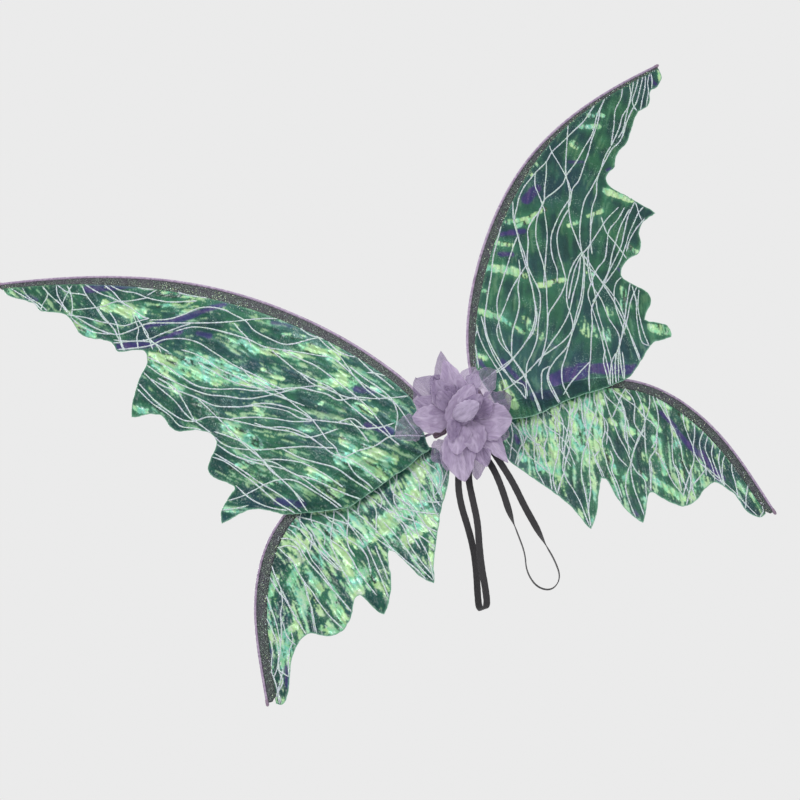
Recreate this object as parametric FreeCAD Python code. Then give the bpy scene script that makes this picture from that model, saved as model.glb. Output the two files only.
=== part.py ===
import FreeCAD, Part
import math, os
from FreeCAD import Vector as V

# Fairy wings: four wire-framed film wings, a felt hub with a chiffon flower,
# and two elastic shoulder loops.  Millimetres, +Z up as worn, +Y towards the
# wearer, origin at the centre of the back pad's rear face.

# ---------------------------------------------------------------- dimensions
PAD_HALF = 17.0          # half width of the hub pad beside the root tabs
PAD_BASE_HALF = 25.5     # half width of the pad at its foot
PAD_TOP = 34.0
PAD_FOOT = -34.0
BACK_PAD_T = 2.5
BOARD_T = 1.5
FRONT_PAD_T = 2.5

HINGE_X = 20.0           # fold line of each side, from the middle
HINGE_Y = -3.0
SWEEP_DEG = 24.4         # how far each side sweeps towards the wearer at rest
LEAN_DEG = -4.2          # lean of the wing planes about their own span

TAB_T = 3.0              # root tab, a doubled felt leaf
TAB_IN, TAB_OUT = 1.0, 19.0
TAB_LOW, TAB_HIGH = -18.0, 24.0

LAYER = 4.0              # upper wings lie this far in front, lower wings behind
WIRE_R = 0.9             # steel core of a spar
COVER_R = 1.6            # outside of the lilac tube over it
EYE_R = 3.1              # centre-line radius of the wire eye at the root
SHANK_R = 2.1            # sewn shank through the eye
CAP_R = 2.2
CAP_L = 8.0
FILM_T = 0.4
HEM_T = 0.6

STRAP_D = 8.0            # width of the elastic
ANCHOR_X_LEFT = (-21.0, -9.0)
ANCHOR_X_RIGHT = (9.0, 20.0)
ANCHOR_W, ANCHOR_H, ANCHOR_T = 8.6, 6.0, 6.0

FLOWER_X, FLOWER_Z = 2.0, -6.0

EYE_UPPER = (7.0, 17.0)
EYE_LOWER = (11.0, -9.0)

# Spar centre lines in the plane of each wing: (distance outward from the fold
# line, height).  The first point is on the eye.
SPAR = {
 "upper_left": [(7.9, 20.0), (24.6, 62.5), (47.9, 102.2), (73.5, 140.1), (101.7, 176.2), (132.0, 210.7),
                (164.0, 243.4), (197.9, 274.2), (233.6, 302.9), (271.0, 329.4), (309.8, 353.7),
                (349.8, 376.0), (390.7, 396.7), (432.3, 415.8), (474.4, 433.7), (517.0, 450.7)],
 "upper_right": [(7.9, 20.0), (20.2, 63.5), (39.8, 104.3), (64.2, 142.3), (91.9, 178.1), (121.7, 212.2),
                 (153.6, 244.4), (187.5, 274.3), (223.6, 301.6), (261.8, 325.8), (301.9, 346.9),
                 (343.3, 365.1), (385.7, 380.9), (428.9, 394.6), (472.5, 406.6), (516.5, 417.2)],
 "lower_right": [(14.1, -8.7), (54.2, -6.4), (94.0, -2.8), (133.9, -0.4), (173.8, -1.7), (213.2, -9.4),
                 (250.2, -25.4), (281.2, -50.6), (305.0, -82.9), (321.5, -119.4), (331.4, -158.1),
                 (337.4, -197.7), (342.5, -237.3)],
 "lower_left": [(14.1, -8.7), (53.1, -6.4), (92.1, -3.0), (131.1, -0.7), (170.4, -1.4), (209.2, -7.3),
                (246.1, -21.2), (277.2, -45.0), (301.1, -76.2), (317.9, -111.6), (328.6, -149.3),
                (336.0, -187.7), (342.8, -226.1)],
}
# Width of the mesh hem at each of those points.
HEM = {
 "upper_left": [9.5, 9.7, 10.1, 11.2, 12.2, 12.6, 12.9, 13.6, 14.0, 13.6, 12.4, 10.9, 9.2, 7.9, 7.2, 6.4],
 "upper_right": [9.0, 9.9, 11.0, 11.6, 11.8, 12.1, 12.3, 11.8, 10.4, 8.3, 6.4, 5.6, 5.5, 5.5, 4.9, 4.0],
 "lower_right": [12.0, 12.4, 12.5, 12.2, 11.5, 10.8, 11.2, 12.6, 13.8, 13.6, 12.4, 11.5, 10.4],
 "lower_left": [12.0, 11.4, 10.6, 10.2, 10.3, 10.8, 11.9, 13.6, 14.7, 14.3, 13.2, 12.4, 11.0],
}
# Ragged outer edge of each film, from the tip round to the root, then up the
# inner edge to the root end of the hem.
EDGE = {
 "upper_left": [(510.8, 440.6), (505.9, 428.8), (480.0, 406.4), (470.5, 395.4), (467.1, 386.1), (432.8, 361.1),
  (421.5, 328.4), (415.0, 319.2), (383.8, 297.6), (380.2, 289.9), (378.9, 280.4), (353.7, 270.1), (344.5, 264.8),
  (340.5, 258.4), (341.5, 251.5), (344.2, 244.2), (360.5, 230.3), (371.4, 218.2), (380.4, 206.6), (388.6, 188.9),
  (377.3, 184.9), (365.7, 182.2), (355.0, 177.1), (347.8, 170.8), (344.3, 163.4), (341.7, 153.6), (336.9, 145.6),
  (329.7, 140.0), (317.1, 136.1), (304.0, 129.9), (294.5, 122.5), (288.5, 114.0), (287.3, 105.1), (291.7, 97.3),
  (300.6, 90.3), (308.1, 82.6), (310.8, 75.5), (307.8, 67.2), (300.5, 58.2), (285.1, 42.8), (285.2, 38.7),
  (290.9, 35.8), (309.2, 23.5), (314.5, 17.6), (317.2, 6.5), (279.2, 7.1), (268.6, 3.6), (256.1, -2.8),
  (235.4, -18.4), (226.6, -22.4), (181.7, -38.7), (155.8, -46.5), (146.2, -47.6), (134.0, -45.8), (103.5, -41.1),
  (87.9, -37.7), (58.2, -34.1), (42.3, -29.6), (27.4, -27.3), (29.0, -10.5), (32.0, 15.0), (31.0, 30.0)],
 "upper_right": [(513.9, 412.0), (513.6, 404.8), (510.4, 396.2), (501.6, 387.7), (491.6, 382.6), (483.4, 380.6),
  (469.9, 362.8), (460.8, 356.0), (452.7, 354.1), (441.4, 349.4), (434.9, 343.9), (409.7, 317.2), (399.3, 307.7),
  (379.6, 296.7), (368.6, 285.8), (360.7, 274.5), (349.9, 270.1), (339.9, 260.9), (338.2, 251.7), (343.4, 242.8),
  (361.5, 226.6), (369.7, 217.0), (381.0, 206.9), (387.8, 197.6), (362.4, 188.6), (353.1, 181.1), (346.9, 173.0),
  (344.5, 162.6), (337.6, 153.2), (330.8, 146.9), (311.4, 141.8), (301.7, 136.2), (292.8, 128.9), (288.3, 120.8),
  (291.2, 114.1), (312.3, 92.7), (315.2, 86.0), (314.4, 78.6), (306.2, 69.9), (297.3, 62.9), (289.2, 54.2),
  (296.5, 49.6), (309.9, 44.2), (319.8, 38.2), (321.2, 31.9), (316.7, 23.9), (287.5, 21.8), (276.6, 17.0),
  (242.2, -7.1), (228.7, -14.0), (223.1, -15.6), (184.1, -20.4), (142.9, -21.7), (122.0, -23.5), (80.6, -30.0),
  (62.2, -30.9), (48.4, -29.2), (30.0, -26.5), (28.5, -10.0), (30.0, 15.0), (29.0, 30.0)],
 "lower_right": [(328.1, -233.0), (319.5, -235.2), (313.1, -232.1), (306.8, -226.1), (303.3, -218.1), (299.3, -197.2),
  (293.0, -188.5), (281.0, -175.3), (274.7, -175.0), (264.8, -178.0), (256.4, -181.4), (248.7, -186.3),
  (238.2, -190.4), (225.8, -192.6), (216.8, -191.5), (207.2, -186.1), (192.8, -172.4), (186.7, -163.8),
  (180.5, -163.6), (165.1, -182.8), (153.1, -195.9), (147.1, -190.1), (141.6, -180.4), (136.8, -166.8),
  (134.0, -155.0), (133.9, -141.2), (131.7, -131.0), (125.7, -128.0), (110.7, -147.3), (99.7, -164.7),
  (88.2, -177.8), (79.8, -184.9), (76.5, -179.9), (74.4, -169.9), (64.8, -145.6), (20.8, -82.2), (16.7, -75.7),
  (12.5, -59.1), (15.0, -40.0), (22.0, -27.0)],
 "lower_left": [(331.0, -227.5), (325.0, -231.5), (314.6, -226.2), (290.9, -183.9), (272.9, -167.9), (264.9, -166.1),
  (255.3, -167.5), (239.3, -178.3), (229.0, -181.3), (220.3, -181.1), (212.4, -179.3), (204.4, -173.6),
  (196.8, -165.1), (191.6, -155.6), (186.9, -151.1), (179.5, -150.4), (174.0, -158.0), (164.0, -179.2),
  (158.8, -184.0), (152.1, -177.9), (146.6, -171.2), (138.9, -158.9), (134.0, -146.7), (131.5, -133.4),
  (127.8, -120.6), (124.4, -115.6), (118.1, -121.0), (99.0, -160.8), (91.7, -170.5), (85.5, -175.8),
  (75.3, -150.5), (48.1, -103.9), (17.2, -58.8), (18.7, -40.0), (23.0, -27.0)],
}

# Elastic shoulder loops: centre-line routes from one anchor round to the other.
LEFT_ROUTE = [(-21.0, -3.4, -40.0), (-21.0, -3.4, -57.0), (-33.6, -5.6, -80.0), (-39.8, -4.4, -106.0),
              (-41.6, -0.6, -133.0), (-45.2, 2.6, -160.0), (-52.4, 3.2, -186.0), (-60.2, 3.6, -208.0),
              (-66.6, 2.4, -228.5), (-57.6, -11.6, -231.0), (-51.4, -13.0, -209.0), (-46.6, -12.2, -186.0),
              (-39.0, -10.6, -160.0), (-29.4, -8.2, -132.0), (-24.4, -6.6, -104.0), (-20.0, -5.2, -80.0),
              (-9.0, -3.4, -58.0), (-9.0, -3.4, -40.0)]
RIGHT_ROUTE = [(9.0, -3.4, -40.0), (9.0, -3.4, -57.0), (13.2, -5.6, -80.0), (12.9, -6.2, -106.0),
               (10.0, -5.0, -136.0), (9.6, -4.2, -164.0), (8.6, -4.0, -187.0), (1.6, -4.8, -207.0),
               (5.4, -5.2, -229.0), (20.8, -5.4, -239.5), (36.4, -5.2, -229.5), (38.0, -4.6, -207.5),
               (34.8, -4.0, -184.0), (32.6, -4.6, -160.0), (29.4, -5.8, -134.0), (28.0, -6.8, -106.0),
               (24.2, -6.2, -80.0), (20.0, -3.4, -57.0), (20.0, -3.4, -40.0)]


# ------------------------------------------------------------------- helpers
def fillet_path(points, k=0.45, start_trim=0.0, end_trim=0.0, note=None):
    """Straight runs joined by tangent arcs.  Returns wire, length, first
    point, first direction, last point, last direction."""
    pts = [V(*p) for p in points]
    n = len(pts)
    runs = [(pts[i + 1] - pts[i]).Length for i in range(n - 1)]
    edges, radii, length = [], [], 0.0
    d0 = (pts[1] - pts[0]).normalize()
    cursor = pts[0] + d0 * start_trim
    first, first_dir = V(cursor), V(d0)
    for i in range(1, n - 1):
        a = (pts[i] - pts[i - 1]).normalize()
        b = (pts[i + 1] - pts[i]).normalize()
        turn = a.getAngle(b)
        t = k * min(runs[i - 1], runs[i])
        r = t / math.tan(turn / 2.0)
        radii.append(r)
        p_in = pts[i] - a * t
        p_out = pts[i] + b * t
        to_centre = (b - a).normalize()
        centre = pts[i] + to_centre * (r / math.cos(turn / 2.0))
        mid = centre - to_centre * r
        if (p_in - cursor).Length > 1e-6:
            edges.append(Part.LineSegment(cursor, p_in).toShape())
            length += (p_in - cursor).Length
        edges.append(Part.Arc(p_in, mid, p_out).toShape())
        length += r * turn
        cursor = p_out
    d1 = (pts[-1] - pts[-2]).normalize()
    last = pts[-1] - d1 * end_trim
    edges.append(Part.LineSegment(cursor, last).toShape())
    length += (last - cursor).Length
    if note:
        print(note, "radii:", " ".join("%.1f" % r for r in radii), "least %.1f" % min(radii))
    return Part.Wire(edges), length, first, first_dir, last, d1


def tube(points, radius, k=0.45, start_trim=0.0, end_trim=0.0, note=None):
    wire, length, p0, d0, p1, d1 = fillet_path(points, k, start_trim, end_trim, note)
    ring = Part.Wire([Part.Circle(p0, d0, radius).toShape()])
    solid = wire.makePipeShell([ring], True, True)
    if solid.ShapeType != "Solid":
        solid = solid.Solids[0]
    want = math.pi * radius * radius * length
    if note:
        print(note, "length %.1f volume %.0f section x length %.0f" % (length, solid.Volume, want))
    if abs(solid.Volume / want - 1.0) > 0.02:
        print("VOLUME DIFFERS", note, solid.Volume, want)
    return solid, length, p1, d1


def slab(points, n0, n1):
    """Flat plate in a wing plane: points are (outward, height)."""
    poly = Part.makePolygon([V(a, n0, b) for a, b in points] + [V(points[0][0], n0, points[0][1])])
    return Part.Face(poly).extrude(V(0, n1 - n0, 0))


def plate(points, y0, y1):
    return slab(points, y0, y1)


def cyl(p, d, r, h):
    return Part.makeCylinder(r, h, V(*p), V(*d))


def to_side(shape, left):
    """Wing-plane frame (outward, normal, height) into the row frame."""
    s = shape.copy()
    s.rotate(V(0, 0, 0), V(1, 0, 0), LEAN_DEG)
    s.rotate(V(0, 0, 0), V(0, 0, 1), SWEEP_DEG)
    s.translate(V(HINGE_X, HINGE_Y, 0))
    if left:
        s = s.mirror(V(0, 0, 0), V(1, 0, 0))
    return s


def smooth_line(points, k=0.45, step=9.0):
    """Points along the tangent-arc path with inward normals and run fraction."""
    wire, length, p0, d0, p1, d1 = fillet_path([(a, 0, b) for a, b in points], k)
    out = []
    edges = wire.Edges
    for e in edges:
        m = max(1, int(round(e.Length / step)))
        for j in range(m):
            q = e.getParameterByLength(e.Length * j / m)
            out.append((e.valueAt(q), e.tangentAt(q)))
    q = edges[-1].LastParameter
    out.append((edges[-1].valueAt(q), edges[-1].tangentAt(q)))
    return out


def front_edge(name, points, widths, inward):
    """Line at the hem's width inside the spar, root to tip."""
    line = smooth_line(points)
    total = 0.0
    stations = [0.0]
    for i in range(1, len(points)):
        total += math.dist(points[i], points[i - 1])
        stations.append(total)
    out, run, prev = [], 0.0, None
    for p, t in line:
        if prev is not None:
            run += (p - prev).Length
        prev = p
        x = min(run * total / (total * 0.9985), total)
        j = 0
        while j < len(stations) - 2 and stations[j + 1] < x:
            j += 1
        u = (x - stations[j]) / (stations[j + 1] - stations[j])
        u = max(0.0, min(1.0, u))
        w = widths[j] * (1 - u) + widths[j + 1] * u
        nrm = V(t.z, 0, -t.x) * inward
        out.append(((p.x + nrm.x * w, p.z + nrm.z * w), (p.x + nrm.x * 1.0, p.z + nrm.z * 1.0), run))
    return out


parts = {}

# ----------------------------------------------------------------------- hub
def pad_outline(grow=0.0):
    h, b = PAD_HALF + grow, PAD_BASE_HALF + grow
    t, f = PAD_TOP + grow, PAD_FOOT - grow
    pts = [(-h + 7, t), (h - 7, t), (h - 2, t - 2), (h, t - 7), (h, -20.0), (b - 1.5, -26.5), (b, -29.0),
           (b, f + 2.5), (b - 2.5, f), (-b + 2.5, f), (-b, f + 2.5), (-b, -29.0), (-b + 1.5, -26.5),
           (-h, -20.0), (-h, t - 7), (-h + 2, t - 2)]
    return pts


y_board = -BACK_PAD_T
y_front = y_board - BOARD_T
y_face = y_front - FRONT_PAD_T
parts["back_pad"] = plate(pad_outline(), y_board, 0.0)
parts["stiffener_board"] = plate(pad_outline(-1.5), y_front, y_board)
rim = plate(pad_outline(), y_front, y_board).cut(plate(pad_outline(-1.5), y_front - 1, y_board + 1))
parts["front_pad"] = plate(pad_outline(), y_face, y_front).fuse(rim).removeSplitter()

# Whip stitches over the rim of the pad, top, foot and lower corners.
stitches = []
for x in (-9.0, -4.5, 0.0, 4.5, 9.0):
    stitches.append(cyl((x, y_face + 0.2, PAD_TOP + 0.45), (0, 1, 0), 0.42, -y_face - 0.4))
for x in (-15.0, -2.8, 2.8, 14.5):
    stitches.append(cyl((x, y_face + 0.2, PAD_FOOT - 0.45), (0, 1, 0), 0.42, -y_face - 0.4))
for sx in (-1, 1):
    stitches.append(cyl((sx * (PAD_BASE_HALF + 0.45), y_face + 0.2, -30.2), (0, 1, 0), 0.42, -y_face - 0.4))
parts["edge_stitches"] = Part.makeCompound(stitches)

parts["glue_puck"] = cyl((FLOWER_X, y_face - 1.5, FLOWER_Z), (0, 1, 0), 11.0, 1.5)
y_base = y_face - 1.5
parts["flower_base"] = cyl((FLOWER_X, y_base - 2.0, FLOWER_Z), (0, 1, 0), 19.0, 2.0)

# -------------------------------------------------------------------- flower
# Petals: (direction from the flower's middle, reach, half width)
BACK_PETALS = [(87, 82, 10), (124, 72, 15), (176, 83, 12), (217, 66, 15), (262, 62, 12), (307, 60, 13),
               (358, 58, 13), (31, 66, 13), (57, 58, 12)]
FRONT_PETALS = [(88, 70, 12), (131, 56, 15), (166, 60, 14), (249, 78, 13), (291, 78, 12), (335, 57, 14)]
INNER_PETALS = [(50, 36, 9), (127, 42, 11), (200, 32, 10), (262, 44, 12), (325, 36, 11)]


def petal_layer(petals, y_top, disc_r, disc_t, slope, thick):
    y0 = y_top - disc_t
    body = cyl((0, y0, 0), (0, 1, 0), disc_r, disc_t)
    for angle, reach, half in petals:
        pts = [(2.0, -3.0), (0.22 * reach, -0.55 * half), (0.45 * reach, -0.96 * half), (0.62 * reach, -half),
               (0.82 * reach, -0.72 * half), (0.94 * reach, -0.3 * half), (reach, 0.0),
               (0.94 * reach, 0.3 * half), (0.82 * reach, 0.72 * half), (0.62 * reach, half),
               (0.45 * reach, 0.96 * half), (0.22 * reach, 0.55 * half), (2.0, 3.0)]
        leaf = slab(pts, 0.0, thick)
        leaf.rotate(V(0, 0, 0), V(0, 0, 1), -slope)
        leaf.translate(V(0, y0 + disc_r * math.tan(math.radians(slope)) + 0.15, 0))
        leaf.rotate(V(0, 0, 0), V(0, 1, 0), -angle)
        body = body.fuse(leaf)
    body.translate(V(FLOWER_X, 0, FLOWER_Z))
    return body


y1 = y_base - 2.0
parts["petals_back"] = petal_layer(BACK_PETALS, y1, 9.5, 3.5, 3.5, 0.8)
y2 = y1 - 3.5
parts["petals_front"] = petal_layer(FRONT_PETALS, y2, 9.0, 4.0, 8.5, 0.8)
y3 = y2 - 4.0
parts["petals_inner"] = petal_layer(INNER_PETALS, y3, 6.5, 4.0, 24.0, 0.8)
y4 = y3 - 4.0
prof = [(0.0, 0.0), (6.0, 0.0), (9.5, 4.0), (11.5, 10.0), (10.5, 16.0), (7.0, 21.0), (0.0, 23.5)]
bud = Part.Face(Part.makePolygon([V(r, -h, 0) for r, h in prof] + [V(0, 0, 0)])).revolve(V(0, 0, 0), V(0, 1, 0), 360)
bud.rotate(V(0, 0, 0), V(0, 0, 1), 0)
bud.translate(V(FLOWER_X + 0.5, y4, FLOWER_Z + 0.5))
parts["flower_bud"] = bud

# ----------------------------------------------------- elastic shoulder loops
def anchors(xs):
    out = []
    for x in xs:
        out.append(Part.makeBox(ANCHOR_W, ANCHOR_T, ANCHOR_H,
                                V(x - ANCHOR_W / 2, -3.4 - ANCHOR_T / 2, PAD_FOOT - ANCHOR_H)))
    return Part.makeCompound(out)


parts["left_strap_anchors"] = anchors(ANCHOR_X_LEFT)
parts["right_strap_anchors"] = anchors(ANCHOR_X_RIGHT)
parts["left_shoulder_strap"] = tube(LEFT_ROUTE, STRAP_D / 2, note="left_shoulder_strap")[0]
parts["right_shoulder_strap"] = tube(RIGHT_ROUTE, STRAP_D / 2, note="right_shoulder_strap")[0]

# ------------------------------------------------------------- root and wings
for side in ("left", "right"):
    left = side == "left"
    tab = slab([(TAB_IN, TAB_LOW + 2), (TAB_IN, TAB_HIGH - 2), (TAB_IN + 1.5, TAB_HIGH), (TAB_OUT - 4, TAB_HIGH),
                (TAB_OUT, TAB_HIGH - 4), (TAB_OUT, TAB_LOW + 1.5), (TAB_OUT - 1.5, TAB_LOW), (TAB_IN + 1.5, TAB_LOW)],
               -TAB_T / 2, TAB_T / 2)
    for level, eye, face in (("upper", EYE_UPPER, -1), ("lower", EYE_LOWER, 1)):
        n_eye = face * LAYER
        ex, ez = eye
        # sewn tie: head, shank through the tab, spacer, shank through the eye, head
        tie = cyl((ex, -face * (TAB_T / 2 + 0.8), ez), (0, face, 0), 3.6, 0.8)
        tie = tie.fuse(cyl((ex, -face * (TAB_T / 2 + 0.4), ez), (0, face, 0), SHANK_R,
                           TAB_T / 2 + 0.4 + LAYER + WIRE_R + 0.15 + 0.5))
        tie = tie.fuse(cyl((ex, face * TAB_T / 2, ez), (0, face, 0), 3.6, LAYER - WIRE_R - 0.15 - TAB_T / 2))
        tie = tie.fuse(cyl((ex, face * (LAYER + WIRE_R + 0.15), ez), (0, face, 0), 3.9, 1.0)).removeSplitter()
        tab = tab.cut(cyl((ex, -3, ez), (0, 1, 0), SHANK_R, 6))
        parts["%s_%s_tie" % (level, side)] = to_side(tie, left)

        name = "%s_%s" % (level, side)
        line = [(ex + (SPAR[name][0][0] - ex), ez + (SPAR[name][0][1] - ez))] + SPAR[name][1:]
        path = [(a, n_eye, b) for a, b in line]
        core, length, tip, tip_dir = tube(path, WIRE_R, note=None)
        eye_ring = Part.makeTorus(EYE_R, WIRE_R, V(ex, n_eye, ez), V(0, 1, 0))
        core = core.fuse(eye_ring)
        shell, l2, end, end_dir = tube(path, COVER_R, start_trim=4.5, end_trim=CAP_L - 1.5)
        bore, l3, e3, d3 = tube(path, WIRE_R, start_trim=4.5, end_trim=CAP_L - 1.5)
        cover = shell.cut(bore)
        cap = Part.makeCylinder(CAP_R, CAP_L, end, end_dir).cut(
            Part.makeCylinder(WIRE_R, CAP_L - 1.5, end, end_dir))
        print(name, "spar length %.0f" % length)
        parts[name + "_spar_wire"] = to_side(core, left)
        parts[name + "_spar_cover"] = to_side(cover, left)
        parts[name + "_tip_cap"] = to_side(cap, left)

        inward = 1.0
        rows = front_edge(name, line, HEM[name], inward)
        start, stop = (30.0, 9.0) if level == "upper" else (22.0, 9.0)
        rows = [r for r in rows if start < r[2] < rows[-1][2] - stop]
        film_front = [r[0] for r in rows]
        hem_out = [r[1] for r in rows]
        film = slab(film_front + EDGE[name], n_eye - FILM_T / 2, n_eye + FILM_T / 2)
        hem = slab(hem_out + film_front[::-1], n_eye - HEM_T / 2, n_eye + HEM_T / 2)
        hem = hem.cut(shell)
        solids = sorted(hem.Solids, key=lambda q: -q.Volume)
        parts[name + "_hem"] = to_side(solids[0], left)
        parts[name + "_film"] = to_side(film, left)
    parts[side + "_root_tab"] = to_side(tab, left)

# --------------------------------------------------------------------- export
os.makedirs("parts", exist_ok=True)
for node, shape in parts.items():
    bad = (not shape.isValid()) or any(s.Volume <= 0 for s in shape.Solids) or not shape.Solids
    if bad:
        print("CHECK", node, shape.ShapeType, shape.isValid(), len(shape.Solids))
    shape.exportStep("parts/%s.step" % node)
print(len(parts), "nodes")
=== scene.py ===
import math
import bpy
import numpy as np
from mathutils import Matrix, Vector
from mathutils.geometry import delaunay_2d_cdt


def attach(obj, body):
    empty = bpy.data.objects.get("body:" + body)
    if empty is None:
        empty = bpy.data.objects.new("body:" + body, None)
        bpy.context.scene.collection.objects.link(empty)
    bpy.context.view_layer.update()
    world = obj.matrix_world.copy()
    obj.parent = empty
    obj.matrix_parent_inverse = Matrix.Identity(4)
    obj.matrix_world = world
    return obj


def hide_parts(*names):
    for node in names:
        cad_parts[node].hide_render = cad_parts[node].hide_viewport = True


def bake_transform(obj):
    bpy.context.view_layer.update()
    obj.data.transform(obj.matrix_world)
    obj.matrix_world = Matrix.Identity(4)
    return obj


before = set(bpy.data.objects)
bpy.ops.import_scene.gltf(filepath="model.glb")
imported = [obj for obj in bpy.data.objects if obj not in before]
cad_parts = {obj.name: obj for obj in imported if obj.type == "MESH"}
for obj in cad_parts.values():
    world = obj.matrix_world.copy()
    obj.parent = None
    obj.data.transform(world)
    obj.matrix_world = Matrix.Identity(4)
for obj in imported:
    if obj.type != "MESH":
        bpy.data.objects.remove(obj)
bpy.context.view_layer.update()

# Fairy wings: iridescent film wings on lilac wire spars, a felt hub with a
# chiffon flower, and elastic shoulder loops.  Lists are in millimetres, as in
# the part's own source; everything is turned into metres as it is built.
MM = 0.001


def rot(axis, deg):
    a = math.radians(deg)
    c, s = math.cos(a), math.sin(a)
    return np.array({"x": [[1, 0, 0], [0, c, -s], [0, s, c]],
                     "y": [[c, 0, s], [0, 1, 0], [-s, 0, c]],
                     "z": [[c, -s, 0], [s, c, 0], [0, 0, 1]]}[axis], float)


# ---------------------------------------------------------------- camera
def make_camera():
    pitch, yaw, roll = -13.78, 6.10, -22.37
    lens_px, hub = 1940.9, (458.31, 414.03)
    dist = 1.2 * lens_px
    view = rot("y", roll) @ rot("x", pitch) @ rot("z", yaw)
    t0 = np.array([(hub[0] - 400) / lens_px * dist, dist, -(hub[1] - 400) / lens_px * dist])
    place = -view.T @ t0 * MM
    cam = bpy.data.cameras.new("camera")
    cam.sensor_width = 36.0
    cam.lens = lens_px * 36.0 / 800.0
    cam.clip_end = 50.0
    ob = bpy.data.objects.new("camera", cam)
    bpy.context.scene.collection.objects.link(ob)
    m = Matrix.Identity(4)
    for i in range(3):
        m[i][0], m[i][1], m[i][2], m[i][3] = view[0][i], view[2][i], -view[1][i], place[i]
    ob.matrix_world = m
    bpy.context.scene.camera = ob


make_camera()

# Spar centre lines in the plane of each wing: (distance outward from the fold
# line, height).  The first point is on the eye.
SPAR = {
 "upper_left": [(7.9, 20.0), (24.6, 62.5), (47.9, 102.2), (73.5, 140.1), (101.7, 176.2), (132.0, 210.7),
                (164.0, 243.4), (197.9, 274.2), (233.6, 302.9), (271.0, 329.4), (309.8, 353.7),
                (349.8, 376.0), (390.7, 396.7), (432.3, 415.8), (474.4, 433.7), (517.0, 450.7)],
 "upper_right": [(7.9, 20.0), (20.2, 63.5), (39.8, 104.3), (64.2, 142.3), (91.9, 178.1), (121.7, 212.2),
                 (153.6, 244.4), (187.5, 274.3), (223.6, 301.6), (261.8, 325.8), (301.9, 346.9),
                 (343.3, 365.1), (385.7, 380.9), (428.9, 394.6), (472.5, 406.6), (516.5, 417.2)],
 "lower_right": [(14.1, -8.7), (54.2, -6.4), (94.0, -2.8), (133.9, -0.4), (173.8, -1.7), (213.2, -9.4),
                 (250.2, -25.4), (281.2, -50.6), (305.0, -82.9), (321.5, -119.4), (331.4, -158.1),
                 (337.4, -197.7), (342.5, -237.3)],
 "lower_left": [(14.1, -8.7), (53.1, -6.4), (92.1, -3.0), (131.1, -0.7), (170.4, -1.4), (209.2, -7.3),
                (246.1, -21.2), (277.2, -45.0), (301.1, -76.2), (317.9, -111.6), (328.6, -149.3),
                (336.0, -187.7), (342.8, -226.1)],
}
# Width of the mesh hem at each of those points.
HEM = {
 "upper_left": [9.5, 9.7, 10.1, 11.2, 12.2, 12.6, 12.9, 13.6, 14.0, 13.6, 12.4, 10.9, 9.2, 7.9, 7.2, 6.4],
 "upper_right": [9.0, 9.9, 11.0, 11.6, 11.8, 12.1, 12.3, 11.8, 10.4, 8.3, 6.4, 5.6, 5.5, 5.5, 4.9, 4.0],
 "lower_right": [12.0, 12.4, 12.5, 12.2, 11.5, 10.8, 11.2, 12.6, 13.8, 13.6, 12.4, 11.5, 10.4],
 "lower_left": [12.0, 11.4, 10.6, 10.2, 10.3, 10.8, 11.9, 13.6, 14.7, 14.3, 13.2, 12.4, 11.0],
}
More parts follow.
